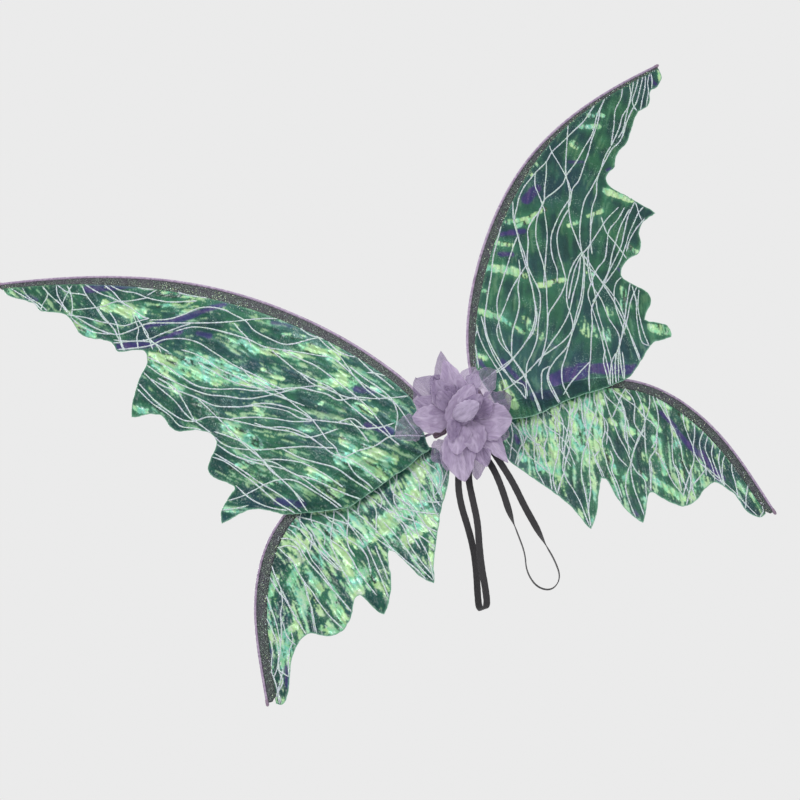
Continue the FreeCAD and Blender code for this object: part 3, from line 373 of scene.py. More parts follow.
# Painted highlights: where the crinkled film flashes mint and lime in reflected light, as capsules (x0, y0, x1, y1,
# radius, strength) in each wing's plane.
PAINTED_HIGHLIGHTS = {
 "upper_left": [(375, 346, 329, 310, 5.8, 1.00), (422, 344, 405, 316, 4.4, 0.80), (341, 364, 296, 326, 1.7, 0.50), (297, 324, 214, 274, 2.0, 0.60), (303, 309, 256, 291, 3.0, 0.60), (334, 248, 301, 219, 6.8, 0.90), (328, 241, 254, 180, 9.3, 1.00), (260, 187, 192, 140, 6.8, 1.00), (275, 218, 233, 178, 6.8, 0.90), (222, 219, 196, 196, 3.4, 0.90), (201, 196, 144, 156, 4.4, 1.00), (135, 167, 95, 131, 4.4, 1.00), (102, 113, 93, 101, 3.4, 0.90), (129, 109, 86, 93, 4.7, 1.00), (97, 64, 76, 46, 4.1, 0.90), (68, 75, 59, 67, 2.0, 0.60), (130, 33, 117, 14, 3.7, 0.80), (196, 163, 175, 139, 3.0, 0.70), (269, 119, 239, 85, 5.1, 0.90), (253, 92, 236, 72, 4.4, 1.00), (380, 198, 367, 185, 3.0, 0.90), (332, 230, 312, 188, 4.4, 0.50), (298, 169, 278, 139, 5.1, 0.40), (224, 123, 217, 110, 2.0, 0.60), (171, 65, 159, 63, 2.0, 0.60), (145, 87, 137, 87, 2.4, 0.60), (141, 16, 109, -7, 6.1, 0.90), (116, -4, 77, -48, 7.4, 0.80), (184, 11, 156, -23, 8.5, 0.70), (106, 11, 74, -20, 5.1, 0.80), (306, 21, 292, 12, 2.0, 0.80), (504, 433, 496, 427, 1.4, 0.70), (241, 24, 226, 21, 2.7, 0.50), (281, 65, 249, 59, 3.4, 0.40), (283, 288, 251, 280, 3.0, 0.40), (345, 328, 344, 307, 2.4, 0.50), (155, 191, 128, 175, 2.0, 0.50)],
 "upper_right": [(341, 345, 370, 340, 3.1, 1.00), (364, 359, 370, 358, 1.7, 0.90), (378, 358, 386, 355, 1.1, 0.80), (161, 229, 193, 228, 2.0, 0.90), (193, 228, 227, 236, 2.6, 0.90), (174, 220, 203, 226, 1.4, 0.80), (133, 204, 154, 196, 2.6, 1.00), (104, 173, 125, 167, 4.8, 1.00), (125, 167, 151, 151, 5.1, 1.00), (163, 134, 180, 132, 3.1, 1.00), (181, 134, 204, 134, 3.1, 1.00), (242, 135, 248, 132, 1.4, 0.80), (64, 119, 91, 102, 3.7, 1.00), (89, 104, 111, 77, 2.0, 0.90), (30, 62, 42, 57, 3.7, 1.00), (330, 243, 361, 224, 4.3, 1.00), (284, 213, 310, 217, 2.6, 0.80), (249, 206, 267, 209, 2.3, 0.60), (322, 157, 331, 145, 3.7, 0.70), (81, 145, 86, 141, 1.4, 0.80), (248, 302, 248, 301, 1.4, 0.80), (231, 290, 232, 289, 1.1, 0.80), (295, 41, 318, 30, 5.7, 1.00), (511, 407, 507, 394, 1.7, 0.90), (50, 17, 52, -10, 5.7, 0.80), (318, 321, 319, 319, 5.7, 0.35), (203, 62, 225, 47, 8.5, 0.35), (122, 91, 132, 68, 7.1, 0.30), (278, 98, 271, 78, 5.7, 0.40), (243, 79, 245, 77, 5.7, 0.30), (198, 74, 200, 56, 7.1, 0.30)],
 "lower_right": [(57, -36, 37, -76, 6.6, 0.80), (76, -36, 51, -95, 6.6, 0.90), (107, -31, 68, -105, 6.6, 1.00), (135, -31, 114, -82, 7.2, 1.00), (157, -31, 119, -103, 6.6, 0.90), (174, -32, 141, -89, 5.5, 0.90), (186, -21, 207, -25, 2.4, 0.90), (175, -61, 198, -83, 3.7, 1.00), (199, -81, 204, -87, 3.3, 1.00), (204, -29, 216, -40, 2.2, 0.90), (231, -55, 237, -90, 3.7, 0.90), (254, -55, 269, -67, 1.8, 0.90), (226, -100, 216, -144, 4.8, 1.00), (196, -149, 223, -182, 4.4, 1.00), (259, -88, 254, -118, 2.0, 0.80), (276, -79, 298, -103, 1.1, 0.80), (298, -103, 314, -139, 1.3, 0.80), (251, -164, 235, -183, 2.9, 0.90), (309, -187, 316, -198, 2.4, 1.00), (321, -204, 332, -225, 1.8, 0.80), (146, -95, 151, -127, 4.4, 0.70), (181, -135, 186, -146, 2.0, 0.80), (314, -143, 320, -152, 1.5, 0.80), (250, -130, 236, -160, 2.9, 0.60), (104, -5, 151, -11, 5.5, 0.60), (152, -9, 182, -6, 4.4, 0.50)],
 "lower_left": [(48, -40, 79, -67, 8.5, 1.00), (127, -86, 63, -75, 9.5, 1.00), (98, -113, 59, -102, 8.5, 1.00), (160, -94, 118, -90, 5.3, 0.90), (188, -61, 181, -94, 6.3, 0.90), (181, -108, 180, -143, 7.4, 1.00), (161, -135, 146, -158, 4.7, 0.90), (261, -99, 247, -90, 3.6, 1.00), (232, -109, 225, -122, 4.2, 1.00), (218, -59, 242, -81, 3.2, 0.80), (275, -85, 291, -102, 3.6, 0.80), (212, -136, 213, -175, 4.9, 0.80), (272, -150, 297, -156, 3.6, 0.80), (288, -159, 299, -194, 2.5, 0.90), (296, -105, 300, -122, 1.9, 0.70), (251, -131, 270, -139, 3.2, 0.60), (242, -166, 218, -181, 1.5, 0.70), (303, -172, 307, -191, 2.3, 0.70), (177, -124, 158, -127, 4.2, 0.80), (70, -125, 82, -161, 3.2, 0.80), (29, -48, 37, -80, 4.2, 0.80), (236, -131, 232, -146, 2.1, 0.50), (305, -155, 305, -171, 1.7, 0.60)],
}
# Painted reflection: the violet and indigo the film throws back at glancing angles, as capsules (x0, y0, x1, y1,
# radius, strength).
VIOLET_REFLECTION = {
 "upper_left": [(391, 379, 323, 351, 4.4, 1.00), (327, 291, 287, 280, 3.0, 1.00), (287, 280, 254, 273, 3.4, 1.00), (254, 273, 213, 266, 2.7, 0.90), (375, 285, 328, 265, 3.7, 1.00), (328, 266, 284, 262, 3.4, 0.80), (263, 249, 248, 237, 3.7, 0.70), (162, 213, 137, 196, 2.4, 0.50), (88, 83, 70, 70, 3.7, 0.70), (92, 36, 66, 15, 4.1, 0.80), (238, -1, 204, -20, 4.1, 0.70), (481, 415, 467, 401, 3.0, 0.50), (167, 74, 156, 72, 1.7, 0.40)],
 "upper_right": [(206, 254, 232, 268, 4.8, 1.00), (145, 214, 181, 212, 3.7, 0.90), (131, 187, 148, 184, 3.1, 0.80), (297, 296, 319, 292, 2.3, 0.60), (122, 6, 175, 10, 7.8, 1.00), (175, 10, 241, -8, 6.4, 1.00), (64, 47, 79, 6, 3.7, 0.70), (492, 400, 497, 387, 2.3, 0.90), (32, 55, 37, 43, 3.1, 0.70), (348, 273, 355, 274, 1.7, 0.70), (289, 132, 291, 126, 2.6, 0.70), (136, 61, 144, 48, 4.3, 0.30), (82, -8, 120, -10, 5.7, 0.50)],
 "lower_right": [(252, -69, 263, -92, 3.3, 1.00), (261, -96, 273, -128, 3.7, 1.00), (280, -135, 291, -172, 5.3, 1.00), (40, -47, 38, -57, 2.4, 0.90), (303, -178, 305, -189, 2.2, 0.40), (149, -179, 150, -185, 2.9, 0.60), (172, -3, 179, -13, 3.3, 0.40)],
 "lower_left": [(303, -192, 309, -215, 2.1, 1.00), (314, -165, 319, -179, 1.5, 0.70), (237, -69, 236, -84, 2.1, 0.30), (48, -94, 49, -102, 1.7, 0.40)],
}
PLAIN = {
 "upper_left": [(206, 249, 189, 216, 8.5, 1.00), (271, 229, 247, 221, 5.1, 0.60), (153, 99, 127, 71, 6.8, 0.60), (192, 206, 162, 195, 5.1, 0.70)],
 "upper_right": [(277, 244, 242, 106, 22.8, 1.00), (173, 104, 200, 28, 17.1, 1.00)],
 "lower_right": [(162, -107, 185, -95, 6.6, 1.00), (146, -126, 183, -120, 6.6, 0.90), (76, -132, 98, -163, 6.6, 1.00), (160, -152, 156, -179, 6.6, 1.00), (186, -41, 190, -55, 4.4, 0.80), (290, -143, 298, -182, 4.4, 0.80)],
 "lower_left": [(172, -98, 140, -124, 5.9, 1.00), (261, -89, 233, -85, 2.8, 0.80), (232, -140, 220, -130, 4.7, 1.00), (171, -152, 153, -176, 4.7, 1.00), (216, -34, 164, -52, 4.9, 1.00), (140, -44, 72, -36, 3.6, 0.80), (248, -163, 228, -157, 3.8, 0.90), (280, -158, 277, -171, 2.5, 0.80), (269, -104, 262, -119, 2.5, 0.70), (181, -96, 182, -117, 2.1, 0.60)],
}
# Routes of the elastic in metres: the same control points.
LEFT_ROUTE_M = [(x * MM, y * MM, z * MM) for x, y, z in LEFT_ROUTE]
RIGHT_ROUTE_M = [(x * MM, y * MM, z * MM) for x, y, z in RIGHT_ROUTE]
HINGE_X, HINGE_Y = 20.0, -3.0
WING_TURN = rot("z", 24.4) @ rot("x", -4.2)
LAYER = 4.0


# ---------------------------------------------------------------- helpers
def link(name, verts, faces, mat=None, smooth=True):
    me = bpy.data.meshes.new(name)
    me.from_pydata([tuple(v) for v in np.asarray(verts, float)], [], [tuple(int(i) for i in f) for f in faces])
    me.update()
    if smooth:
        me.polygons.foreach_set("use_smooth", np.ones(len(me.polygons), bool))
    ob = bpy.data.objects.new(name, me)
    bpy.context.scene.collection.objects.link(ob)
    if mat is not None:
        me.materials.append(mat)
    return ob


def link_fast(name, verts, loops, starts, mat=None, smooth=True, flat_from=None):
    """Mesh from flat arrays: loops of vertex indices and where each face starts."""
    me = bpy.data.meshes.new(name)
    verts = np.asarray(verts, np.float32)
    me.vertices.add(len(verts))
    me.vertices.foreach_set("co", verts.ravel())
    me.loops.add(len(loops))
    me.loops.foreach_set("vertex_index", np.asarray(loops, np.int32))
    me.polygons.add(len(starts))
    me.polygons.foreach_set("loop_start", np.asarray(starts, np.int32))
    me.update(calc_edges=True)
    if smooth:
        flags = np.ones(len(me.polygons), bool)
        if flat_from is not None:
            flags[flat_from:] = False
        me.polygons.foreach_set("use_smooth", flags)
    ob = bpy.data.objects.new(name, me)
    bpy.context.scene.collection.objects.link(ob)
    if mat is not None:
        me.materials.append(mat)
    return ob


def to_world(p, left):
    """Wing frame (outward, normal, height) in mm to the row frame in metres."""
    q = np.asarray(p, float) @ WING_TURN.T + np.array([HINGE_X, HINGE_Y, 0.0])
    if left:
        q = q * np.array([-1.0, 1.0, 1.0])
    return q * MM


def quad_line(points, step):
    """Smooth line through the middles of the runs, ending on the end points."""
    P = np.array(points, float)
    mids = 0.5 * (P[1:] + P[:-1])
    out = [P[:1]]

    def straight(a, b):
        n = max(1, int(np.linalg.norm(b - a) / step))
        t = np.arange(1, n + 1)[:, None] / n
        return a + (b - a) * t
    out.append(straight(P[0], mids[0]))
    for i in range(1, len(P) - 1):
        a, c, b = mids[i - 1], P[i], mids[i]
        n = max(2, int((np.linalg.norm(c - a) + np.linalg.norm(b - c)) / step))
        t = np.arange(1, n + 1)[:, None] / n
        out.append((1 - t) ** 2 * a + 2 * t * (1 - t) * c + t ** 2 * b)
    out.append(straight(mids[-1], P[-1]))
    return np.concatenate(out)


def through(points, step):
    """Smooth line through the points themselves (centripetal Catmull-Rom)."""
    P = np.array(points, float)
    keep = [0] + [i for i in range(1, len(P)) if np.linalg.norm(P[i] - P[i - 1]) > 0.3]
    P = P[keep]
    if len(P) < 3:
        n = max(2, int(np.linalg.norm(P[-1] - P[0]) / step))
        return P[0] + (P[-1] - P[0]) * np.linspace(0, 1, n + 1)[:, None]
    Q = np.concatenate([[2 * P[0] - P[1]], P, [2 * P[-1] - P[-2]]])
    out = [P[:1]]
    for i in range(1, len(Q) - 2):
        p0, p1, p2, p3 = Q[i - 1:i + 3]
        t0, t1 = 0.0, np.linalg.norm(p1 - p0) ** 0.5
        t2 = t1 + np.linalg.norm(p2 - p1) ** 0.5
        t3 = t2 + np.linalg.norm(p3 - p2) ** 0.5
        n = max(1, int(round(np.linalg.norm(p2 - p1) / step)))
        t = (t1 + (t2 - t1) * np.arange(1, n + 1) / n)[:, None]
        a1 = (t1 - t) / (t1 - t0) * p0 + (t - t0) / (t1 - t0) * p1
        a2 = (t2 - t) / (t2 - t1) * p1 + (t - t1) / (t2 - t1) * p2
        a3 = (t3 - t) / (t3 - t2) * p2 + (t - t2) / (t3 - t2) * p3
        b1 = (t2 - t) / (t2 - t0) * a1 + (t - t0) / (t2 - t0) * a2
        b2 = (t3 - t) / (t3 - t1) * a2 + (t - t1) / (t3 - t1) * a3
        out.append((t2 - t) / (t2 - t1) * b1 + (t - t1) / (t2 - t1) * b2)
    return np.concatenate(out)


def tangents(P):
    d = np.gradient(P, axis=0)
    return d / np.maximum(np.linalg.norm(d, axis=1), 1e-9)[:, None]


def frames(P):
    """Rotation-minimising side and up vectors along a 3-D line."""
    T = tangents(P)
    ref = np.array([0, 1.0, 0]) if abs(T[0][1]) < 0.9 else np.array([1.0, 0, 0])
    s = np.cross(ref, T[0])
    s /= np.linalg.norm(s)
    S = [s]
    for i in range(1, len(P)):
        v1 = P[i] - P[i - 1]
        c1 = v1 @ v1
        if c1 < 1e-12:
            S.append(S[-1])
            continue
        sl = S[-1] - 2 / c1 * (v1 @ S[-1]) * v1
        tl = T[i - 1] - 2 / c1 * (v1 @ T[i - 1]) * v1
        v2 = T[i] - tl
        c2 = v2 @ v2
        S.append(sl - (2 / c2 * (v2 @ sl) * v2 if c2 > 1e-12 else 0))
    S = np.array(S)
    S -= (S * T).sum(1)[:, None] * T
    S /= np.linalg.norm(S, axis=1)[:, None]
    return S, np.cross(T, S)


def tube_arrays(P, S, U, ring, scale=None, base=0):
    """Closed tube: ring is (m, 2) offsets along S and U at each point of P."""
    n, m = len(P), len(ring)
    if ring.ndim == 2:
        ring = np.broadcast_to(ring, (n, m, 2))
    else:
        m = ring.shape[1]
    if scale is not None:
        ring = ring * np.asarray(scale)[:, None, None]
    V = P[:, None, :] + S[:, None, :] * ring[..., :1] + U[:, None, :] * ring[..., 1:]
    V = V.reshape(-1, 3)
    i, j = np.meshgrid(np.arange(n - 1), np.arange(m), indexing="ij")
    a = i * m + j
    b = i * m + (j + 1) % m
    q = np.stack([a, b, b + m, a + m], -1).reshape(-1)
    starts = list(range(0, len(q), 4))
    loops = list(q)
    starts.append(len(loops))
    loops += list(range(m - 1, -1, -1))
    starts.append(len(loops))
    loops += [(n - 1) * m + k for k in range(m)]
    return V, np.array(loops) + base, np.array(starts)


class Batch:
    """Gathers many small solids into one mesh."""

    def __init__(self):
        self.v, self.l, self.s, self.nv, self.nl = [], [], [], 0, 0

    def add(self, V, loops, starts):
        self.v.append(np.asarray(V, float))
        self.l.append(np.asarray(loops) + self.nv)
        self.s.append(np.asarray(starts) + self.nl)
        self.nv += len(V)
        self.nl += len(loops)

    def make(self, name, mat, smooth=True, mm=True):
        V = np.concatenate(self.v)
        return link_fast(name, V * (MM if mm else 1.0), np.concatenate(self.l), np.concatenate(self.s), mat, smooth)


def circle(m, rx, ry=None, phase=0.0):
    a = np.arange(m) / m * 2 * math.pi + phase
    return np.stack([np.cos(a) * rx, np.sin(a) * (rx if ry is None else ry)], 1)


def vnoise(x, y, seed, octaves=1):
    """Smooth value noise from 0 to 1 on a seeded lattice."""
    rng = np.random.default_rng(seed)
    table = rng.random((256, 256))
    total, amp, norm = 0.0, 1.0, 0.0
    for o in range(octaves):
        fx, fy = np.floor(x), np.floor(y)
        ix, iy = fx.astype(int) & 255, fy.astype(int) & 255
        u, v = x - fx, y - fy
        u, v = u * u * (3 - 2 * u), v * v * (3 - 2 * v)
        jx, jy = (ix + 1) & 255, (iy + 1) & 255
        n = (table[ix, iy] * (1 - u) + table[jx, iy] * u) * (1 - v) + (table[ix, jy] * (1 - u) + table[jx, jy] * u) * v
        total = total + n * amp
        norm += amp
        amp *= 0.5
        x, y = x * 2.03 + 17.3, y * 2.03 + 5.1
    return total / norm


def step01(a, b, x):
    t = np.clip((x - a) / (b - a), 0, 1)
    return t * t * (3 - 2 * t)


def lin(r, g, b):
    """8-bit display colour to linear."""
    out = []
    for c in (r, g, b):
        c /= 255.0
        out.append(c / 12.92 if c <= 0.04045 else ((c + 0.055) / 1.055) ** 2.4)
    return np.array(out)


# ---------------------------------------------------------------- materials
def material(name):
    m = bpy.data.materials.new(name)
    m.use_nodes = True
    nt = m.node_tree
    bsdf = nt.nodes["Principled BSDF"]
    return m, nt, bsdf


def node(nt, kind, **sockets):
    n = nt.nodes.new(kind)
    for k, v in sockets.items():
        if hasattr(n, k) and k not in n.inputs:
            setattr(n, k, v)
        else:
            n.inputs[k.replace("_", " ")].default_value = v
    return n


def coords(nt, scale):
    tc = nt.nodes.new("ShaderNodeTexCoord")
    mp = nt.nodes.new("ShaderNodeMapping")
    mp.inputs["Scale"].default_value = scale
    nt.links.new(tc.outputs["Object"], mp.inputs["Vector"])
    return mp.outputs["Vector"]


def noise(nt, vec, scale, detail=3.0, rough=0.55, distortion=0.0):
    n = nt.nodes.new("ShaderNodeTexNoise")
    n.inputs["Scale"].default_value = scale
    n.inputs["Detail"].default_value = detail
    n.inputs["Roughness"].default_value = rough
    n.inputs["Distortion"].default_value = distortion
    if vec is not None:
        nt.links.new(vec, n.inputs["Vector"])
    return n.outputs["Fac"]


def ramp(nt, fac, stops):
    r = nt.nodes.new("ShaderNodeValToRGB")
    cr = r.color_ramp
    while len(cr.elements) < len(stops):
        cr.elements.new(0.5)
    for e, (pos, col) in zip(cr.elements, stops):
        e.position = pos
        e.color = tuple(col) + (1.0,) if len(col) == 3 else tuple(col)
    nt.links.new(fac, r.inputs["Fac"])
    return r.outputs["Color"]


def maprange(nt, fac, a, b, c, d):
    r = nt.nodes.new("ShaderNodeMapRange")
    for k, v in (("From Min", a), ("From Max", b), ("To Min", c), ("To Max", d)):
        r.inputs[k].default_value = v
    nt.links.new(fac, r.inputs["Value"])
    return r.outputs["Result"]


def mixcol(nt, fac, a, b, kind="MIX"):
    m = nt.nodes.new("ShaderNodeMix")
    m.data_type = "RGBA"
    m.blend_type = kind
    for s, v in ((0, fac), (6, a), (7, b)):
        if isinstance(v, bpy.types.NodeSocket):
            nt.links.new(v, m.inputs[s])
        elif s == 0:
            m.inputs[0].default_value = v
        else:
            m.inputs[s].default_value = tuple(v) + (1.0,) if len(v) == 3 else tuple(v)
    return m.outputs[2]


def bump(nt, bsdf, height, strength, distance):
    b = nt.nodes.new("ShaderNodeBump")
    b.inputs["Strength"].default_value = strength
    b.inputs["Distance"].default_value = distance
    nt.links.new(height, b.inputs["Height"])
    nt.links.new(b.outputs["Normal"], bsdf.inputs["Normal"])
    return b


def math_node(nt, op, a, b=None):
    m = nt.nodes.new("ShaderNodeMath")
    m.operation = op
    for i, v in enumerate((a, b)):
        if v is None:
            continue
        if isinstance(v, bpy.types.NodeSocket):
            nt.links.new(v, m.inputs[i])
        else:
            m.inputs[i].default_value = v
    return m.outputs[0]


def film_material():
    m, nt, b = material("iridescent_film")
    at = nt.nodes.new("ShaderNodeAttribute")
    at.attribute_name = "film_colour"
    vec = coords(nt, (1, 1, 1))
    soft = noise(nt, vec, 55.0, 4.0, 0.6)
    fine = noise(nt, vec, 900.0, 3.0, 0.6)
    shade = mixcol(nt, maprange(nt, soft, 0.3, 0.7, 0.0, 1.0), (0.78, 0.84, 0.82), (1.18, 1.12, 1.16))
    col = mixcol(nt, 1.0, at.outputs["Color"], shade, "MULTIPLY")
    # Painted glints: pale sparkle specks, clustered in patches, mixed into the film colour.
    glint_sparkle = noise(nt, vec, 620.0, 1.0, 0.5)
    patch = noise(nt, vec, 38.0, 3.0, 0.6)
    speck = math_node(nt, "MULTIPLY", maprange(nt, glint_sparkle, 0.58, 0.68, 0.0, 0.55), maprange(nt, patch, 0.50, 0.66, 0.02, 1.0))
    col = mixcol(nt, speck, col, tuple(lin(172, 206, 188)))
    nt.links.new(col, b.inputs["Base Color"])
    nt.links.new(maprange(nt, fine, 0.3, 0.7, 0.24, 0.40), b.inputs["Roughness"])
    b.inputs["Metallic"].default_value = 0.15
    b.inputs["Specular IOR Level"].default_value = 0.32
    b.inputs["Coat Weight"].default_value = 0.10
    b.inputs["Coat Roughness"].default_value = 0.12
    b.inputs["Thin Film Thickness"].default_value = 420.0
    b.inputs["Thin Film IOR"].default_value = 1.45
    crackle = nt.nodes.new("ShaderNodeTexVoronoi")
    crackle.feature = "DISTANCE_TO_EDGE"
    crackle.inputs["Scale"].default_value = 330.0
    nt.links.new(vec, crackle.inputs["Vector"])
    h = math_node(nt, "ADD", math_node(nt, "MULTIPLY", crackle.outputs["Distance"], 0.5), fine)
    bump(nt, b, h, 0.35, 0.0006)
    tr = nt.nodes.new("ShaderNodeBsdfTransparent")
    tr.inputs["Color"].default_value = (0.58, 0.84, 0.74, 1.0)
    mx = nt.nodes.new("ShaderNodeMixShader")
    thin = nt.nodes.new("ShaderNodeAttribute")
    thin.attribute_name = "film_thin"
    nt.links.new(thin.outputs["Fac"], mx.inputs["Fac"])
    nt.links.new(b.outputs["BSDF"], mx.inputs[1])
    nt.links.new(tr.outputs["BSDF"], mx.inputs[2])
    nt.links.new(mx.outputs["Shader"], nt.nodes["Material Output"].inputs["Surface"])
    return m


def glitter_thread_material():
    m, nt, b = material("glitter_thread")
    vec = coords(nt, (1, 1, 1))
    n1 = noise(nt, vec, 1400.0, 2.0, 0.7)
    n2 = noise(nt, vec, 120.0, 3.0, 0.6)
    col = ramp(nt, n1, [(0.36, tuple(lin(112, 124, 140))), (0.45, tuple(lin(182, 182, 206))),
                        (0.54, tuple(lin(238, 236, 246))), (0.64, tuple(lin(164, 220, 188)))])
    col = mixcol(nt, maprange(nt, n2, 0.45, 0.65, 0.0, 0.5), col, tuple(lin(196, 226, 200)))
    nt.links.new(col, b.inputs["Base Color"])
    nt.links.new(maprange(nt, n1, 0.35, 0.65, 0.55, 0.2), b.inputs["Roughness"])
    b.inputs["Metallic"].default_value = 0.1
    bump(nt, b, n1, 0.6, 0.0004)
    return m


def hem_material():
    m, nt, b = material("glitter_mesh")
    vec = coords(nt, (1, 1, 1))
    n1 = noise(nt, vec, 1100.0, 2.0, 0.7)
    n2 = noise(nt, vec, 60.0, 3.0, 0.6)
    # Painted glints: the pale green and white stops are the glitter flecks' sparkle, painted into the dark mesh colour.
    col = ramp(nt, n1, [(0.0, tuple(lin(24, 30, 32))), (0.56, tuple(lin(36, 44, 46))),
                        (0.63, tuple(lin(120, 150, 130))), (0.72, tuple(lin(210, 226, 206)))])
    col = mixcol(nt, maprange(nt, n2, 0.45, 0.62, 0.0, 0.5), col, tuple(lin(58, 50, 70)))
    nt.links.new(col, b.inputs["Base Color"])
    nt.links.new(maprange(nt, n1, 0.4, 0.7, 0.6, 0.2), b.inputs["Roughness"])
    bump(nt, b, n1, 0.8, 0.0005)
    net = nt.nodes.new("ShaderNodeTexVoronoi")
    net.feature = "DISTANCE_TO_EDGE"
    net.inputs["Scale"].default_value = 620.0
    nt.links.new(vec, net.inputs["Vector"])
    hole = maprange(nt, net.outputs["Distance"], 0.16, 0.22, 0.0, 0.5)
    tr = nt.nodes.new("ShaderNodeBsdfTransparent")
    tr.inputs["Color"].default_value = (0.8, 0.8, 0.82, 1.0)
    mx = nt.nodes.new("ShaderNodeMixShader")
    nt.links.new(hole, mx.inputs["Fac"])
    nt.links.new(b.outputs["BSDF"], mx.inputs[1])
    nt.links.new(tr.outputs["BSDF"], mx.inputs[2])
    nt.links.new(mx.outputs["Shader"], nt.nodes["Material Output"].inputs["Surface"])
    return m


def flake_material():
    m, nt, b = material("glitter_flakes")
    vec = coords(nt, (1, 1, 1))
    n1 = noise(nt, vec, 260.0, 1.0, 0.5)
    col = ramp(nt, n1, [(0.30, tuple(lin(150, 190, 140))), (0.45, tuple(lin(226, 240, 200))),
                        (0.58, tuple(lin(190, 230, 210))), (0.70, tuple(lin(225, 215, 240)))])
    nt.links.new(col, b.inputs["Base Color"])
    b.inputs["Metallic"].default_value = 0.35
    nt.links.new(maprange(nt, n1, 0.3, 0.7, 0.35, 0.15), b.inputs["Roughness"])
    return m


def spar_material():
    m, nt, b = material("spar_tube")
    vec = coords(nt, (1, 1, 1))
    n1 = noise(nt, vec, 240.0, 4.0, 0.6)
    n2 = noise(nt, vec, 1800.0, 2.0, 0.6)
    col = ramp(nt, n1, [(0.3, tuple(lin(124, 104, 132))), (0.5, tuple(lin(158, 138, 166))), (0.7, tuple(lin(182, 166, 186)))])
    col = mixcol(nt, maprange(nt, n2, 0.58, 0.7, 0.0, 0.5), col, tuple(lin(214, 204, 216)))
    nt.links.new(col, b.inputs["Base Color"])
    nt.links.new(maprange(nt, n2, 0.3, 0.7, 0.32, 0.5), b.inputs["Roughness"])
    bump(nt, b, n2, 0.3, 0.0003)
    return m


def elastic_material():
    m, nt, b = material("elastic")
    uv = nt.nodes.new("ShaderNodeUVMap")
    uv.uv_map = "run"
    w = nt.nodes.new("ShaderNodeTexWave")
    w.wave_type = "BANDS"
    w.bands_direction = "X"
    w.inputs["Scale"].default_value = 28.0
    nt.links.new(uv.outputs["UV"], w.inputs["Vector"])
    w2 = nt.nodes.new("ShaderNodeTexWave")
    w2.bands_direction = "Y"
    w2.inputs["Scale"].default_value = 3.2
    nt.links.new(uv.outputs["UV"], w2.inputs["Vector"])
    fz = noise(nt, coords(nt, (1, 1, 1)), 1300.0, 3.0, 0.7)
    h = math_node(nt, "ADD", math_node(nt, "MULTIPLY", w.outputs["Fac"], 0.6), math_node(nt, "MULTIPLY", w2.outputs["Fac"], 0.8))
    col = ramp(nt, h, [(0.1, tuple(lin(20, 19, 21))), (0.6, tuple(lin(34, 32, 35))), (1.0, tuple(lin(52, 50, 53)))])
    col = mixcol(nt, maprange(nt, fz, 0.55, 0.75, 0.0, 0.5), col, tuple(lin(74, 71, 75)))
    nt.links.new(col, b.inputs["Base Color"])
    b.inputs["Roughness"].default_value = 0.78
    b.inputs["Sheen Weight"].default_value = 0.25
    b.inputs["Sheen Roughness"].default_value = 0.5
    bump(nt, b, h, 0.6, 0.0004)
    return m


def cloth_material(name, dark, mid, light, fibre=900.0, sheen=0.2, rough=0.85, depth=0.0006):
    """Felted or woven cloth: clouded colour, fibres and a soft nap."""
    m, nt, b = material(name)
    vec = coords(nt, (1, 1, 1))
    cloud = noise(nt, vec, 70.0, 4.0, 0.6)
    fib = noise(nt, coords(nt, (1.0, 1.0, 0.35)), fibre, 4.0, 0.7, 0.6)
    fib2 = noise(nt, coords(nt, (0.35, 1.0, 1.0)), fibre * 0.8, 4.0, 0.7, 0.6)
    f = math_node(nt, "MULTIPLY", math_node(nt, "ADD", fib, fib2), 0.5)
    col = ramp(nt, f, [(0.34, tuple(lin(*dark))), (0.5, tuple(lin(*mid))), (0.66, tuple(lin(*light)))])
    col = mixcol(nt, maprange(nt, cloud, 0.4, 0.7, 0.0, 0.45), col, tuple(lin(*dark)))
    nt.links.new(col, b.inputs["Base Color"])
    b.inputs["Roughness"].default_value = rough
    b.inputs["Sheen Weight"].default_value = sheen
    bump(nt, b, f, 0.8, depth)
    return m


